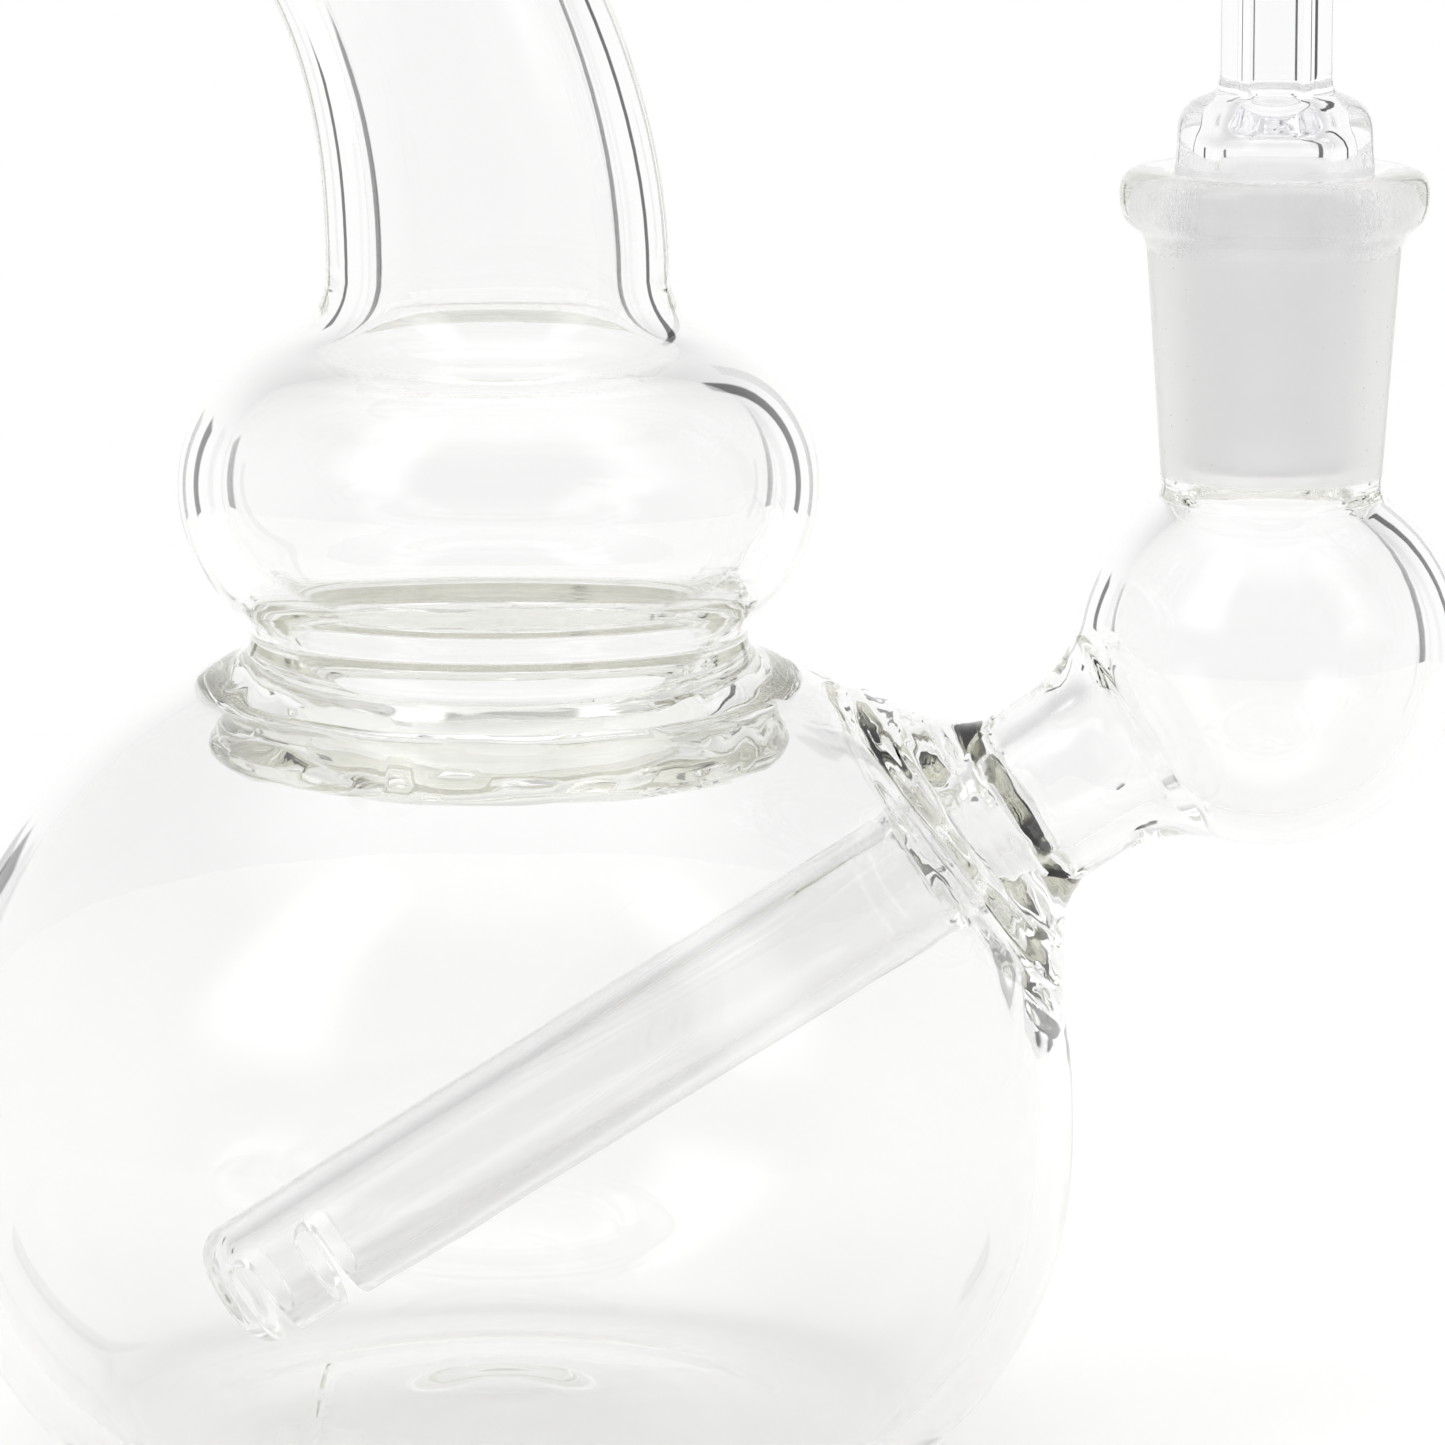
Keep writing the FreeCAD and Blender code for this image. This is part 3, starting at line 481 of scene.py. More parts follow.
def ball_rows(radius, first, last, phi, count, arm_to_socket=True):
    """Circles round a ball from the arm's mouth to the socket's, in planes through one line beside it.

    first and last are how far from the ball's centre the arm and the socket begin."""
    cos_a, sin_a = cosine(ARM_ANGLE)
    line_x = -(first + sin_a * last) / cos_a
    rows = []
    for share in np.linspace(0, 1, count + 2)[1:-1]:
        angle = ARM_ANGLE + (math.pi / 2 - ARM_ANGLE) * share
        c, s = cosine(angle)
        offset = line_x * c + last * s
        r = math.sqrt(radius ** 2 - offset ** 2)
        centre = np.array([BALL_X + c * offset, 0, BALL_Z + s * offset])
        across = np.array([s, 0, -c])
        rows.append(ring_round(centre, r, phi, across))
    return rows if arm_to_socket else rows[::-1]


def ring_round(centre, radius, phi, across):
    """Points round a centre, in the plane of across and Y."""
    return (centre + radius * np.outer(np.cos(phi), across)
            + radius * np.outer(np.sin(phi), [0, 1, 0]))


def add_rows(shell, previous, rows):
    for row in rows:
        index = shell.add(row)
        shell.band(previous, index)
        previous = index
    return previous


def flare_t(r):
    """Height of the arm's flare along the arm's axis, at a radius."""
    bend_t = ARM_END + FLARE_ROUND * math.sin(FLARE_SLOPE)
    bend_r = ARM_R + FLARE_ROUND * (1 - math.cos(FLARE_SLOPE))
    if r >= bend_r:
        return bend_t + (r - bend_r) / math.tan(FLARE_SLOPE)
    return ARM_END + math.sqrt(max(FLARE_ROUND ** 2 - (FLARE_ROUND - (r - ARM_R)) ** 2, 0))


def rim_profile():
    """The socket's rim from its foot, over the rounded edge to the mouth."""
    rise = [(SOCKET_R_HIGH, RIM_FOOT_Z), (SOCKET_R_HIGH + 0.12, 90.9),
            (SOCKET_R_HIGH + 0.55, 91.7), (10.45, 92.2), (RIM_R - 0.25, 92.65), (RIM_R, 93.6),
            (RIM_R, SOCKET_TOP - RIM_ROUND)]
    edge = arc((RIM_R - RIM_ROUND, SOCKET_TOP - RIM_ROUND), RIM_ROUND, 0, 90, 16)
    mouth = arc((CONE_R + MOUTH_ROUND, SOCKET_TOP - MOUTH_ROUND), MOUTH_ROUND, 90, 180, 8)
    return softened(even(joined(rise, edge, mouth), 0.35), 3)


def crossed(lathe, axis, r, phi, block, reach):
    """How far along a tube's axis the wall is, for each angle round it."""
    return lathe.crossing(axis, r, phi, block, *reach)[0]


def flare_and_arm(wall, block, arm, phi, flat, cut_t):
    """Outside rings from the chamber's wall over the flare and the arm to the ball."""
    rows = []
    bend_r = ARM_R + FLARE_ROUND * (1 - math.cos(FLARE_SLOPE))
    arc_r = ARM_R + FLARE_ROUND * (1 - np.cos(np.linspace(FLARE_SLOPE, 0, 8)))
    for r in [*np.linspace(FLARE_OUT, bend_r, 24)[1:], *arc_r[1:]]:
        t = crossed(wall, arm, r, phi, block, OUTER_REACH)
        blend = SEAL_BLEND * ease((FLARE_OUT - r) / 3)
        rows.append(arm.point(soft_min(flare_t(r), t, blend), r, phi))
    waist_r, waist_t = arm_waist()
    along = [*np.linspace(ARM_END, waist_t, 4)[1:], *np.linspace(waist_t, cut_t, 11)[1:]]
    for share, t in zip(np.linspace(0, 1, 13), along):
        r = waist_r - math.sqrt(ARM_ROUND ** 2 - min(t - waist_t, 0) ** 2)
        rows.append(arm.point(t, r, phi + (flat - phi) * ease(share)))
    return rows


def arm_waist():
    """Centre of the round between the arm and the ball: radius and t."""
    waist_r = ARM_R + ARM_ROUND
    return waist_r, math.sqrt((BALL_R + ARM_ROUND) ** 2 - waist_r ** 2)


def ball_and_socket(flat, cut_t):
    """Outside rings over the ball, up the socket and over its rim."""
    weld_r = SOCKET_R_LOW + SOCKET_WELD
    weld_z = BALL_Z + math.sqrt((BALL_R + SOCKET_WELD) ** 2 - weld_r ** 2)
    lean = math.degrees(math.atan2(weld_z - BALL_Z, weld_r))
    weld = arc((weld_r, weld_z), SOCKET_WELD, 180 + lean, 180, 8)
    side = joined(weld, [(SOCKET_R_LOW + 0.05, weld_z + 0.8), (SOCKET_R_HIGH, RIM_FOOT_Z)])
    turned = [*joined(weld, even(side[len(weld) - 1:], 1.3)), *rim_profile()[1:]]
    return (ball_rows(BALL_R, cut_t, weld[0][1] - BALL_Z, flat, 26)
            + [UPRIGHT.point(z, r, flat) for r, z in turned])


def hollow(arm, flat, cut_t):
    """Inside rings down the ground bore, through the ball and arm, to the stem's closed end."""
    hollow_r = BALL_R - BALL_WALL
    round_r = socket_bore(SOCKET_LOW_Z) + HOLLOW_ROUND
    round_z = BALL_Z + math.sqrt((hollow_r + HOLLOW_ROUND) ** 2 - round_r ** 2)
    lean = math.degrees(math.atan2(round_z - BALL_Z, round_r))
    mouth = arc((round_r, round_z), HOLLOW_ROUND, 180, 180 + lean, 7)
    ground = np.linspace(SOCKET_TOP - 1.6, round_z + 0.9, 22)
    rows = [UPRIGHT.point(z, socket_bore(z), flat) for z in ground]
    rows += [UPRIGHT.point(z, r, flat) for r, z in mouth]
    rows += ball_rows(hollow_r, cut_t, mouth[-1][1] - BALL_Z, flat, 22, False)
    inner_r = math.sqrt(hollow_r ** 2 - cut_t ** 2)
    bend = inner_r - ARM_BORE
    turn_in = arc_through((cut_t, inner_r), (cut_t + bend * 0.9, ARM_BORE + bend * 0.3),
                          (cut_t + bend * 2.6, ARM_BORE), 8)
    throat = softened(even(joined(turn_in, BORE_NARROWS), 0.9), 2)
    end_t, end_r = STEM_END - TIP_WALL, TIP_ROUND - 1.0
    tip = even(joined([(32.0, STEM_BORE), (end_t - end_r, STEM_BORE)]), 2.2)
    close = arc((end_t - end_r, STEM_BORE - end_r), end_r, 90, 0, 8)[1:]
    turned = [*throat, *tip, *joined(close, [(end_t, 1.0)])]
    return rows + [arm.point(t, r, flat) for t, r in turned], end_t


def stem(wall, block, arm, phi):
    """Outside rings of the stem, from the chamber's inner wall to its closed round end."""
    flat = evened(phi)
    rows = []
    for r in np.linspace(STEM_OUT, STEM_R + STEM_ROUND, 6)[1:]:
        rows.append(arm.point(crossed(wall, arm, r, phi, block, INNER_REACH), r, phi))
    for turn in np.linspace(0, math.pi / 2, 9)[1:]:
        r = STEM_R + STEM_ROUND * (1 - math.sin(turn))
        t = crossed(wall, arm, r, phi, block, INNER_REACH)
        start = t + STEM_ROUND * (1 - math.cos(turn))
        rows.append(arm.point(start, r, phi))
    for share in np.linspace(0, 1, 6)[1:]:
        t = start + (STEM_EVEN - start) * share
        rows.append(arm.point(t, STEM_R, phi + (flat - phi) * ease(share)))
    side = even(np.array([(STEM_EVEN, STEM_R), (STEM_END - TIP_ROUND, STEM_R)]), 2.0)[1:]
    close = arc((STEM_END - TIP_ROUND, STEM_R - TIP_ROUND), TIP_ROUND, 90, 0, 12)[1:]
    return rows + [arm.point(t, r, flat) for t, r in joined(side, close, [(STEM_END, 1.2)])]


def build_vessel():
    """The vessel as one closed wall, and the axis of its side arm."""
    shell = Shell()
    stations, (outer, inner), poles = vessel_stations()
    wall = Lathe(shell, stations, COLUMNS)
    wall.build((outer, inner))
    shell.cap(wall.index[0], (0, 0, poles[0][1]))
    shell.cap(wall.index[-1], (0, 0, poles[1][1]))

    cos_a, sin_a = cosine(ARM_ANGLE)
    arm = Axis((BALL_X, 0, BALL_Z), (-cos_a, 0, -sin_a), (sin_a, 0, -cos_a))
    cut_t = BALL_R / (BALL_R + ARM_ROUND) * arm_waist()[1]

    row, phi = pierce(wall, outer, arm, FLARE_OUT, OUTER_REACH, 10)
    flat = evened(phi)
    rows = flare_and_arm(wall, outer, arm, phi, flat, cut_t) + ball_and_socket(flat, cut_t)
    inside, end_t = hollow(arm, flat, cut_t)
    last = add_rows(shell, row, rows + inside)
    shell.cap(last, arm.point(end_t, 0.0, 0.0))

    row, phi = pierce(wall, inner, arm, STEM_OUT, INNER_REACH, 8)
    last = add_rows(shell, row, stem(wall, inner, arm, phi))
    shell.cap(last, arm.point(STEM_END, 0.0, 0.0))
    return shell.mesh("vessel_glass"), arm


def hot_worked(data, arm):
    """Waves left by the torch in the two thick seals, the arm's flare and the neck's bead."""
    count = len(data.vertices)
    points = np.empty(count * 3)
    normals = np.empty(count * 3)
    data.vertices.foreach_get("co", points)
    data.vertices.foreach_get("normal", normals)
    points, normals = points.reshape(-1, 3) / MM, normals.reshape(-1, 3)
    off = points - arm.origin
    t, side, up = off @ arm.along, off @ arm.side, off @ arm.up
    r = np.hypot(side, up)
    flare = ease((t - 18.0) / 3) * ease((38.0 - t) / 4) * ease((18.0 - r) / 4)
    round_axis = np.hypot(points[:, 0], points[:, 1])
    section = np.hypot(round_axis - (BEAD_R - BEAD_HALF[0]), points[:, 2] - BEAD_Z)
    bead = ease((BEAD_HALF[0] + 1.2 - section) / 1.0)
    lift = np.zeros(count)
    for k in np.nonzero(flare > 0.01)[0]:
        turn = math.atan2(side[k], up[k])
        place_on = Vector((t[k] * 0.55 + r[k] * 0.35, math.cos(turn) * 1.7, math.sin(turn) * 1.7))
        lift[k] += flare[k] * (0.17 * noise.noise(place_on) + 0.07 * noise.noise(place_on * 2.7))
    for k in np.nonzero(bead > 0.01)[0]:
        turn = math.atan2(points[k, 1], points[k, 0])
        place_on = Vector((round_axis[k] * 0.75 + 9.0, points[k, 2] * 0.9 + math.cos(turn) * 2.2,
                           math.sin(turn) * 2.2))
        lift[k] += bead[k] * (0.26 * noise.noise(place_on) + 0.10 * noise.noise(place_on * 2.3))
    points += normals * lift[:, None]
    data.vertices.foreach_set("co", (points * MM).ravel())
    data.update()


def slit_cutter(arm, t):
    """Slab across the stem with a round upper edge, open below."""
    half = SLIT_WIDTH / 2
    top = SLIT_DEPTH - STEM_R - half
    turns = np.linspace(math.pi, 2 * math.pi, 13)
    outline = [(-half, STEM_R * 2), *[(half * math.cos(a), -top + half * math.sin(a)) for a in turns],
               (half, STEM_R * 2)]
    work = bmesh.new()
    rings = []
    for y in (-STEM_R * 1.5, STEM_R * 1.5):
        ring = []
        for a, b in outline:
            p = arm.origin + arm.along * (t + a) + arm.up * b + arm.side * y
            ring.append(work.verts.new(p * MM))
        rings.append(ring)
    for k in range(len(outline)):
        m = (k + 1) % len(outline)
        work.faces.new([rings[0][k], rings[0][m], rings[1][m], rings[1][k]])
    work.faces.new(rings[0])
    work.faces.new(rings[1])
    bmesh.ops.recalc_face_normals(work, faces=work.faces)
    data = bpy.data.meshes.new("slit_cutter")
    work.to_mesh(data)
    work.free()
    return bpy.data.objects.new("slit_cutter", data)


def place(name, data, body, nodes, material):
    obj = bpy.data.objects.new(name, data)
    bpy.context.scene.collection.objects.link(obj)
    data.materials.clear()
    data.materials.append(material)
    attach(obj, body)
    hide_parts(*nodes)
    return obj


def cut(data, cutters):
    """The mesh with the cutters' volumes taken away."""
    target = bpy.data.objects.new("target", data)
    bpy.context.scene.collection.objects.link(target)
    for cutter in cutters:
        bpy.context.scene.collection.objects.link(cutter)
        step = target.modifiers.new("slit", "BOOLEAN")
        step.operation = "DIFFERENCE"
        step.solver = "EXACT"
        step.object = cutter
    graph = bpy.context.evaluated_depsgraph_get()
    result = bpy.data.meshes.new_from_object(target.evaluated_get(graph))
    for thing in [target, *cutters]:
        bpy.data.objects.remove(thing)
    return result


def smooth(data, crease_deg):
    data.shade_smooth()
    data.set_sharp_from_angle(angle=math.radians(crease_deg))


# ---- the insert ----
def bucket_stations():
    """The bucket's rings from its outer middle up, over the rim and down to the floor inside."""
    low, rim, base, edge = BUCKET_LOW, BUCKET_HIGH, BUCKET_FLOOR, BUCKET_EDGE
    wall_in = BUCKET_R - BUCKET_WALL
    outside = joined([(0, low), (BUCKET_R - edge, low)],
                     arc((BUCKET_R - edge, low + edge), edge, -90, 0, 7), [(BUCKET_R, INLET_LOW)])
    above = joined([(BUCKET_R, INLET_HIGH), (BUCKET_R, rim - edge)],
                   arc((BUCKET_R - edge, rim - edge), edge, 0, 90, 7),
                   arc((wall_in + edge, rim - edge), edge, 90, 180, 7), [(wall_in, INLET_HIGH)])
    inside = joined([(wall_in, INLET_LOW), (wall_in, base + BUCKET_CORNER)],
                    arc((wall_in - BUCKET_CORNER, base + BUCKET_CORNER), BUCKET_CORNER, 0, -90, 8),
                    [(0, base)])
    z = np.linspace(INLET_LOW, INLET_HIGH, INLET_ROWS + 1)
    parts = [even(outside, 0.8)[1:-1], np.column_stack([np.full(len(z), BUCKET_R), z]),
             softened(even(above, 0.5), 1)[1:-1], np.column_stack([np.full(len(z), wall_in), z[::-1]]),
             even(inside, 0.8)[1:-1]]
    starts = np.cumsum([0] + [len(p) for p in parts])
    stations = upright(np.vstack(parts))
    stations[:, 0] = BUCKET_X
    return stations, [(first, first + INLET_ROWS, HALF_INLET) for first in (starts[1], starts[3])]


def tube_rows(inlet, radius, flat):
    """Rings back from the bucket and round the elbow."""
    rows = [inlet.point(t, radius, flat) for t in np.linspace(INLET_RUN, 0.0, 4)]
    for a in np.linspace(math.pi / 2, math.pi, 20)[1:]:
        c, s = cosine(a)
        centre = np.array([BALL_X + ELBOW_R + c * ELBOW_R, 0, ELBOW_Z + s * ELBOW_R])
        rows.append(ring_round(centre, radius, flat, -np.array([c, 0, s])))
    return rows


def weld_rows(cup, inlet, block, phi, tube_r, weld, count):
    """Rings of the small round where the tube, or its bore, meets the bucket's wall."""
    rows = []
    for turn in np.linspace(0, math.pi / 2, count)[1:]:
        r = tube_r + weld * (1 - math.sin(turn))
        t = crossed(cup, inlet, r, phi, block, INLET_REACH)
        rows.append(inlet.point(t - weld * (1 - math.cos(turn)), r, phi))
    return rows


def stand_profiles():
    """Radius and height down the tube, shoulder and cone, and back up the hollow and bore."""
    seam_r = socket_bore(INSERT_SEAM) - GRIND_GAP
    low_r = socket_bore(INSERT_LOW) - GRIND_GAP
    shoulder = joined([(QUARTZ_R, ELBOW_Z - 0.5), (QUARTZ_R, SHOULDER_TOP + 0.5),
                       (QUARTZ_R + 0.25, SHOULDER_TOP)], SHOULDER_LINE, [(seam_r, INSERT_SEAM)])
    cone = joined([(seam_r - 0.04, INSERT_SEAM - 0.8), (low_r + 0.03, INSERT_LOW + 0.6)],
                  arc((low_r - 0.5, INSERT_LOW + 0.5), 0.5, 0, -90, 6),
                  arc((INSERT_BORE + 0.4, INSERT_LOW + 0.4), 0.4, 270, 180, 6),
                  [(INSERT_BORE, INSERT_LOW + 1.0)])
    cavity = joined([(INSERT_BORE, INSERT_LOW + 1.6), (INSERT_BORE, CAVITY_TOP)],
                    arc((INSERT_BORE - 1.1, CAVITY_TOP), 1.1, 0, 75, 8),
                    [(2.75, 99.35), (2.2, 99.6), (QUARTZ_BORE, 100.2), (QUARTZ_BORE, ELBOW_Z - 0.5)])
    return [*softened(even(shoulder, 0.4), 2), *even(cone, 0.8), *softened(even(cavity, 0.6), 2)]


def build_insert():
    """The insert as one closed wall."""
    shell = Shell()
    stations, (outer, inner) = bucket_stations()
    cup = Lathe(shell, stations, BUCKET_COLUMNS, BUCKET_X, math.pi)
    cup.build([outer, inner])
    shell.cap(cup.index[0], (BUCKET_X, 0, BUCKET_LOW))
    shell.cap(cup.index[-1], (BUCKET_X, 0, BUCKET_FLOOR))
    inlet = Axis((BALL_X + ELBOW_R, 0, ELBOW_Z + ELBOW_R), (1, 0, 0), (0, 0, -1))

    row, phi = pierce(cup, outer, inlet, QUARTZ_R + INLET_WELD, INLET_REACH, 5)
    flat = evened(phi)
    rows = weld_rows(cup, inlet, outer, phi, QUARTZ_R, INLET_WELD, 8)
    rows += tube_rows(inlet, QUARTZ_R, flat)
    rows += [UPRIGHT.point(z, r, flat) for r, z in stand_profiles()]
    rows += tube_rows(inlet, QUARTZ_BORE, flat)[::-1]
    last = add_rows(shell, row, rows)

    row, phi = pierce(cup, inner, inlet, QUARTZ_BORE + INLET_LIP, INLET_REACH, 6)
    mouth = add_rows(shell, row, weld_rows(cup, inlet, inner, phi, QUARTZ_BORE, INLET_LIP, 5))
    same_way = np.sign(phi[1] - phi[0]) == np.sign(flat[1] - flat[0])
    other, other_angle = (last, flat) if same_way else (last[::-1], flat[::-1])
    shift = int(np.argmin(np.abs(np.exp(1j * other_angle) - np.exp(1j * phi[0]))))
    shell.band(mouth, np.roll(other, -shift))
    return shell.mesh("insert_quartz")


# ---- materials ----
class Nodes:
    """Small helper for wiring shader nodes."""

    def __init__(self, tree):
        self.tree = tree
        tree.nodes.clear()

    def new(self, kind, **values):
        node = self.tree.nodes.new(kind)
        for key, value in values.items():
            if hasattr(node, key):
                setattr(node, key, value)
            else:
                node.inputs[key.replace("_", " ")].default_value = value
        return node

    def link(self, a, b):
        self.tree.links.new(a, b)

    def math(self, op, a, b=0.0, c=0.0):
        node = self.new("ShaderNodeMath", operation=op)
        for socket, value in zip(node.inputs, (a, b, c)):
            if isinstance(value, (int, float)):
                socket.default_value = value
            else:
                self.link(value, socket)
        return node.outputs[0]

    def ramp(self, value, low, high):
        node = self.new("ShaderNodeMapRange", interpolation_type="SMOOTHSTEP")
        self.link(value, node.inputs[0])
        node.inputs[1].default_value = low
        node.inputs[2].default_value = high
        return node.outputs[0]


# Where the glass's looks change: each pair is where the change starts and where it is complete.
EDGE = 0.25 * MM                                        # softness of the frosted band's own limits
SKIN_OUT, SKIN_TOP = (9.9, 9.5), (91.2, 90.2)           # outside of the socket, below its rim
CHAMBER_SHADE_SPAN = (60.0, 50.0)                                 # painted shade: the chamber is painted greyer than the neck below these heights
RIM_IN, RIM_FOOT, RIM_OUT = (8.4, 9.6), (90.6, 92.0), (12.0, 11.6)
SEAL_TOP, SEAL_FOOT, SEAL_OUT = (57.2, 56.2), (50.6, 51.4), (22.6, 21.8)
OLIVE = (0.075, 0.070, 0.115)                           # light lost per channel in the sealed bead


class GlassPlaces(Nodes):
    """Nodes that tell where on the glass a point is."""

    def __init__(self, tree):
        super().__init__(tree)
        self.where = self.new("ShaderNodeTexCoord").outputs["Object"]
        xyz = self.new("ShaderNodeSeparateXYZ")
        self.link(self.where, xyz.inputs[0])
        self.x, self.y, self.z = xyz.outputs
        self.stand_radius = self.length(self.math("SUBTRACT", self.x, BALL_X * MM), self.y)
        self.neck_radius = self.length(self.x, self.y)

    def length(self, x, y):
        squares = [self.math("MULTIPLY", v, v) for v in (x, y)]
        return self.math("SQRT", self.math("ADD", *squares))

    def noise(self, scale, detail, roughness):
        node = self.new("ShaderNodeTexNoise", Scale=scale, Detail=detail, Roughness=roughness)
        self.link(self.where, node.inputs["Vector"])
        return node.outputs[0]

    def within(self, *limits):
        """1 where every value is past its second limit, 0 before its first; limits in metres."""
        share = None
        for value, none, full in limits:
            step = self.ramp(value, none, full)
            share = self.math("MULTIPLY", share, step) if share else step
        return share

    def spread(self, value, per_unit, base):
        return self.math("MULTIPLY_ADD", value, per_unit, base)


def millimetres(pair):
    return [v * MM for v in pair]


def glass(name, ior, wall_tint, tint, density, ground):
    """Clear glass that tints with depth, frosted where it is ground.

    ground = (radius low, radius high, z low, z high) of the frosted band round the insert's axis.
    The skin outside that band is frosted too; the rim and the bead lose a little light, and the chamber
    is painted a little greyer as painted shade."""
    material = bpy.data.materials.new(name)
    material.use_nodes = True
    n = GlassPlaces(material.node_tree)
    out = n.new("ShaderNodeOutputMaterial")
    shader = n.new("ShaderNodeBsdfPrincipled")
    shader.inputs["Transmission Weight"].default_value = 1.0
    shader.inputs["IOR"].default_value = ior
    n.link(shader.outputs[0], out.inputs["Surface"])
    depth = n.new("ShaderNodeVolumeAbsorption")
    depth.inputs["Color"].default_value = (*tint, 1)
    depth.inputs["Density"].default_value = density
    n.link(depth.outputs[0], out.inputs["Volume"])

    r_low, r_high, z_low, z_high = millimetres(ground)
    radius = n.stand_radius
    frosted = n.within((radius, r_low, r_low + EDGE), (radius, r_high + EDGE, r_high),
                       (n.z, z_low, z_low + EDGE), (n.z, z_high + EDGE, z_high))
    skin = n.within((radius, r_high, r_high + 2 * EDGE), (radius, *millimetres(SKIN_OUT)),
                    (n.z, z_low, z_low + 2 * EDGE), (n.z, *millimetres(SKIN_TOP)))
    # painted shade mask: 1 on the chamber below 50 mm, 0 above 60 mm
    body = n.ramp(n.z, *millimetres(CHAMBER_SHADE_SPAN))
    rim = n.within((radius, *millimetres(RIM_IN)), (n.z, *millimetres(RIM_FOOT)),
                   (radius, *millimetres(RIM_OUT)))
    seal = n.within((n.z, *millimetres(SEAL_TOP)), (n.z, *millimetres(SEAL_FOOT)),
                    (n.neck_radius, *millimetres(SEAL_OUT)))

    grain = n.noise(2600.0, 3.0, 0.6)
    waves = n.noise(85.0, 1.5, 0.4)
    patches = n.noise(420.0, 4.0, 0.65)
    frost = n.spread(grain, 0.22, 0.30)
    n.link(n.math("MULTIPLY", n.spread(skin, 0.75, frosted), frost), shader.inputs["Roughness"])

    # light lost at each surface, and painted shade on the chamber, taken off the wall's own tint
    loss_and_painted_shade = n.math("MULTIPLY", frosted, n.spread(patches, 0.06, 0.02))
    loss_and_painted_shade = n.spread(frosted, n.math("MULTIPLY", grain, 0.03), loss_and_painted_shade)
    loss_and_painted_shade = n.spread(skin, n.spread(patches, 0.05, 0.03), loss_and_painted_shade)
    # painted shade: the chamber is painted greyer to dim the light it shows
    loss_and_painted_shade = n.spread(body, 0.015, loss_and_painted_shade)
    loss_and_painted_shade = n.spread(rim, n.spread(patches, 0.12, 0.03), loss_and_painted_shade)
    seal = n.math("MULTIPLY", seal, n.spread(patches, 1.6, 0.2))
    colour = n.new("ShaderNodeCombineColor")
    for channel, clear, olive in zip(colour.inputs[:3], wall_tint, OLIVE):
        n.link(n.math("SUBTRACT", clear, n.spread(seal, olive, loss_and_painted_shade)), channel)
    n.link(colour.outputs[0], shader.inputs["Base Color"])

    drawn = n.new("ShaderNodeBump", Strength=0.35, Distance=0.10 * MM)
    n.link(waves, drawn.inputs["Height"])
    ground_bump = n.new("ShaderNodeBump", Distance=0.06 * MM)
    n.link(frosted, ground_bump.inputs["Strength"])
    n.link(grain, ground_bump.inputs["Height"])
    n.link(drawn.outputs[0], ground_bump.inputs["Normal"])
    n.link(ground_bump.outputs[0], shader.inputs["Normal"])
    return material


def floor_material():
    material = bpy.data.materials.new("studio_floor")
    material.use_nodes = True
    n = Nodes(material.node_tree)
    out = n.new("ShaderNodeOutputMaterial")
    shader = n.new("ShaderNodeBsdfPrincipled", Roughness=0.9)
    shader.inputs["Base Color"].default_value = (0.93, 0.93, 0.925, 1)
    shader.inputs["Specular IOR Level"].default_value = 0.1
    n.link(shader.outputs[0], out.inputs["Surface"])
    return material


# The surround: strengths, and the heights (degrees) or facings they change between.
HORIZON, WALL_CHANGE, WALL_SPAN = 1.03, -0.28, (2.0, 38.0)
FRONT_CHANGE, FRONT_FACING, FRONT_SPAN = -0.22, (0.0, -0.6), (75.0, 45.0)
OVERHEAD, OVERHEAD_SPAN = 0.93, (42.0, 72.0)
GAP_SOFTNESS, BOX_SOFTNESS = 1.5, 16.0
# azimuth from +Y towards +X, half-width, height, half-height (degrees), depth or power
GAPS = [(27.0, 2.2, 6.0, 24.0, 0.97), (-27.0, 2.0, -6.0, 10.0, 0.95)]
SOFT_BOXES = [(-128.0, 7.0, 42.0, 14.0, 1.5), (120.0, 4.0, 38.0, 16.0, 1.1)]


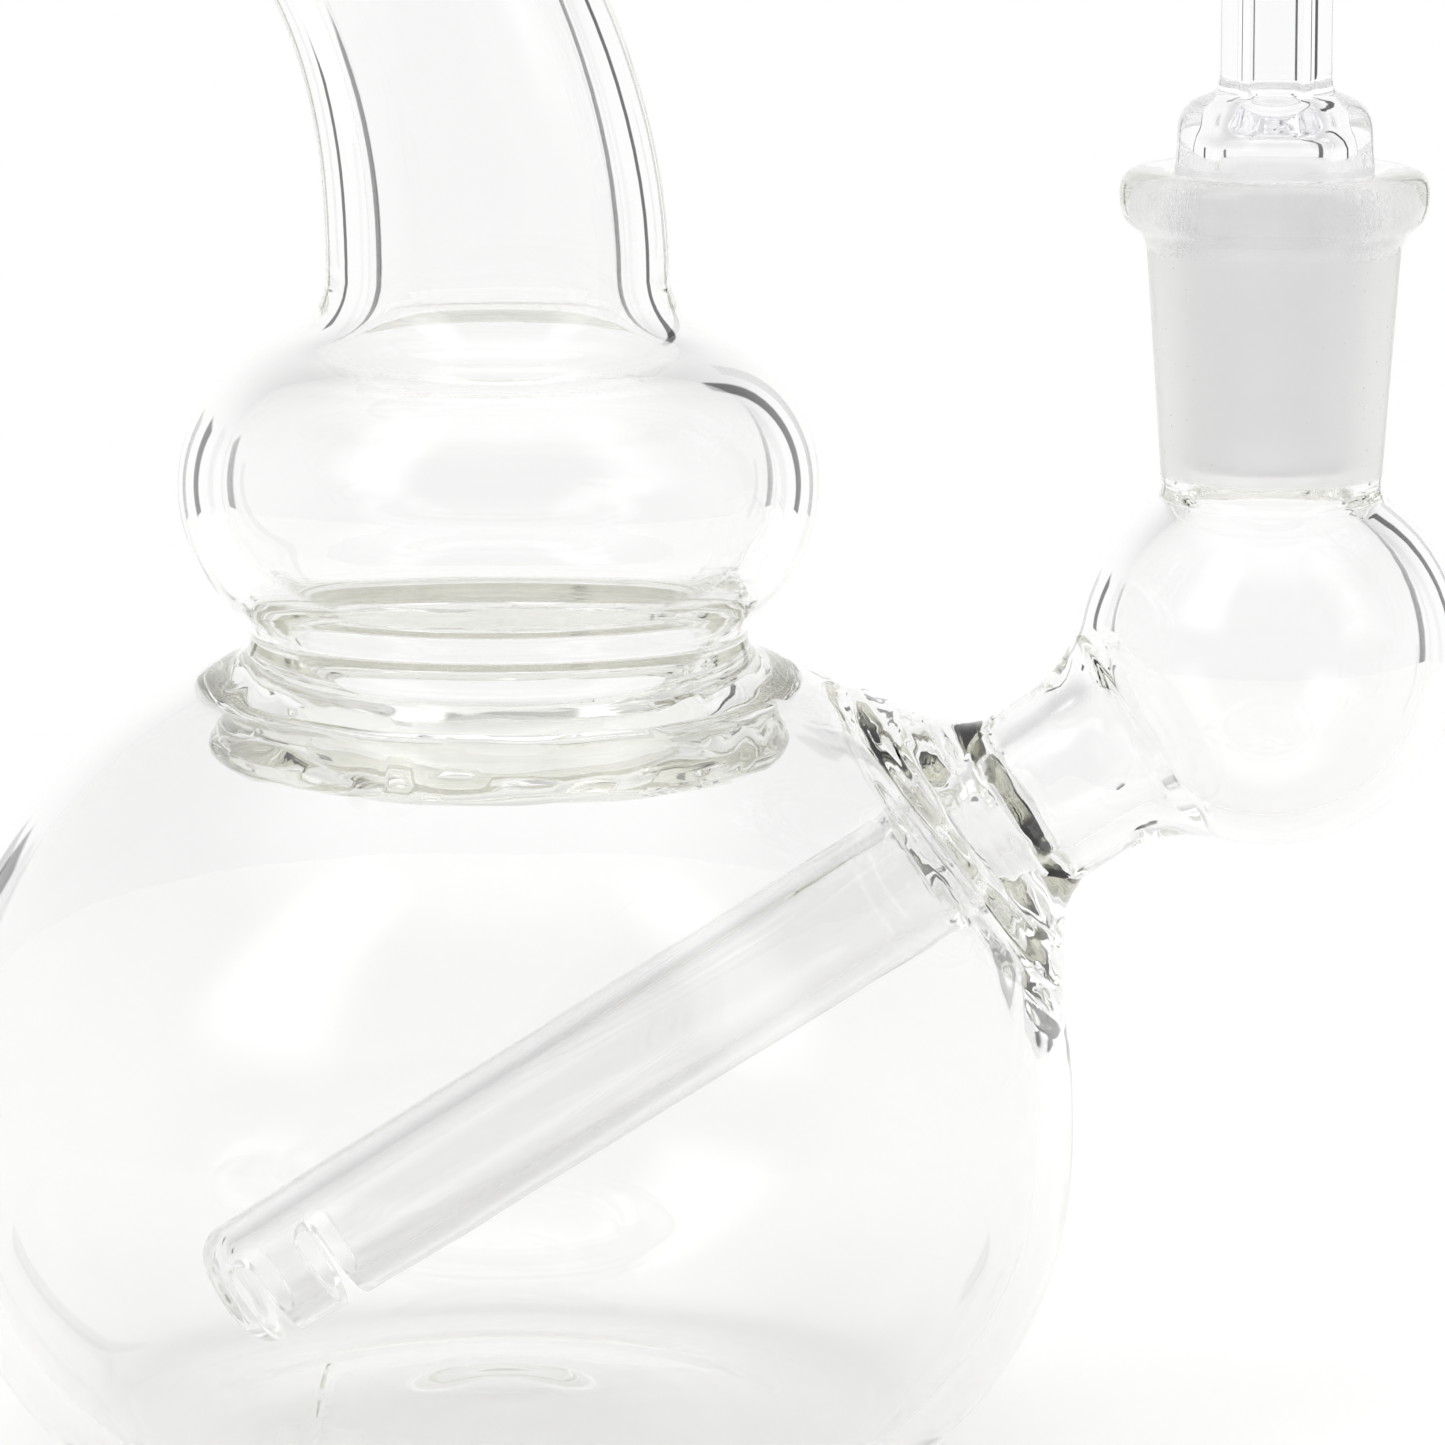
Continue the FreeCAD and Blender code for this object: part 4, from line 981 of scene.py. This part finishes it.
def studio():
    """White surround, brighter overhead, with soft boxes and dark gaps only the glass shows."""
    world = bpy.data.worlds.new("studio")
    bpy.context.scene.world = world
    world.use_nodes = True
    n = Nodes(world.node_tree)
    out = n.new("ShaderNodeOutputWorld")
    way = n.new("ShaderNodeSeparateXYZ")
    n.link(n.new("ShaderNodeTexCoord").outputs["Generated"], way.inputs[0])
    x, y, z = way.outputs
    azimuth = n.math("DEGREES", n.math("ARCTAN2", x, y))
    height = n.math("DEGREES", n.math("ARCSINE", z))
    walls = n.math("MULTIPLY_ADD", n.ramp(height, *WALL_SPAN), WALL_CHANGE, HORIZON)
    front = n.math("MULTIPLY", n.ramp(y, *FRONT_FACING), n.ramp(height, *FRONT_SPAN))
    walls = n.math("MULTIPLY", walls, n.math("MULTIPLY_ADD", front, FRONT_CHANGE, 1.0))
    light = n.math("MULTIPLY_ADD", n.ramp(height, *OVERHEAD_SPAN), OVERHEAD, walls)

    def patch(azimuth_at, half_width, height_at, half_height, soft):
        """1 inside a patch of the surround, falling to 0 over its softness."""
        a = n.math("ABSOLUTE", n.math("SUBTRACT", azimuth, azimuth_at))
        h = n.math("ABSOLUTE", n.math("SUBTRACT", height, height_at))
        return n.math("MULTIPLY", n.ramp(a, half_width + soft, half_width),
                      n.ramp(h, half_height + soft, half_height))

    for *shape, depth in GAPS:
        gap = n.math("MULTIPLY", patch(*shape, GAP_SOFTNESS), depth)
        light = n.math("MULTIPLY", light, n.math("SUBTRACT", 1.0, gap))
    for *shape, power in SOFT_BOXES:
        light = n.math("MULTIPLY_ADD", patch(*shape, BOX_SOFTNESS), power, light)
    seen = n.new("ShaderNodeBackground", Color=(1, 1, 1, 1), Strength=1.0)
    lit = n.new("ShaderNodeBackground", Color=(1, 1, 1, 1))
    n.link(light, lit.inputs["Strength"])
    choose = n.new("ShaderNodeMixShader")
    n.link(n.new("ShaderNodeLightPath").outputs["Is Camera Ray"], choose.inputs[0])
    n.link(lit.outputs[0], choose.inputs[1])
    n.link(seen.outputs[0], choose.inputs[2])
    n.link(choose.outputs[0], out.inputs["Surface"])


CAMERA_PITCH, CAMERA_DISTANCE, CAMERA_TARGET = math.radians(10.2), 622.7, np.array([16.3, 0, 55.5])
SENSOR_WIDTH, FOCAL_LENGTH = 36.0, 211.76


def camera():
    """The photograph's view: a long lens, a little above the part, looking along +Y."""
    back = np.array([0, -math.cos(CAMERA_PITCH), math.sin(CAMERA_PITCH)])
    data = bpy.data.cameras.new("camera")
    data.sensor_width = SENSOR_WIDTH
    data.lens = FOCAL_LENGTH
    data.clip_end = 100.0
    obj = bpy.data.objects.new("camera", data)
    obj.location = (CAMERA_TARGET + back * CAMERA_DISTANCE) * MM
    obj.rotation_euler = (math.pi / 2 - CAMERA_PITCH, 0, 0)
    bpy.context.scene.collection.objects.link(obj)
    bpy.context.scene.camera = obj


def floor():
    side = 0.3      # metres from the middle to each edge
    corners = [(-side, -side, 0), (side, -side, 0), (side, side, 0), (-side, side, 0)]
    data = bpy.data.meshes.new("floor")
    data.from_pydata(corners, [], [(0, 1, 2, 3)])
    data.materials.append(floor_material())
    obj = bpy.data.objects.new("floor", data)
    bpy.context.scene.collection.objects.link(obj)


# ---- the scene ----
# Light running along inside the walls needs this many; with fewer the thick seals go black.
BOUNCES, GLOSSY_BOUNCES = 128, 64
scene = bpy.context.scene
scene.view_settings.view_transform = "Standard"
scene.cycles.max_bounces = BOUNCES
scene.cycles.transmission_bounces = BOUNCES
scene.cycles.glossy_bounces = GLOSSY_BOUNCES
scene.cycles.volume_bounces = 0
scene.cycles.blur_glossy = 0.0

boro = glass("clear_borosilicate", ior=1.473, wall_tint=(0.966, 0.965, 0.965), tint=(0.80, 0.80, 0.72),
             density=7.5, ground=(5.0, 7.6, 73.6, SOCKET_TOP - 0.7))
quartz = glass("clear_quartz", ior=1.458, wall_tint=(0.980, 0.980, 0.982), tint=(0.78, 0.78, 0.82),
               density=10.0, ground=(5.4, 8.5, INSERT_LOW + 0.3, INSERT_SEAM - 0.4))

vessel_mesh, arm_axis = build_vessel()
hot_worked(vessel_mesh, arm_axis)
vessel_mesh = cut(vessel_mesh, [slit_cutter(arm_axis, STEM_END - gap) for gap in SLIT_FROM_END])
VESSEL_CREASE, INSERT_CREASE = 38, 60     # degrees above which an edge stays sharp
smooth(vessel_mesh, VESSEL_CREASE)
insert_mesh = build_insert()
smooth(insert_mesh, INSERT_CREASE)
bodies = frame["record"]["behaviour"]["bodies"]
place("vessel_glass", vessel_mesh, "vessel", bodies["vessel"], boro)
place("insert_quartz", insert_mesh, "insert", bodies["insert"], quartz)

floor()
studio()
camera()
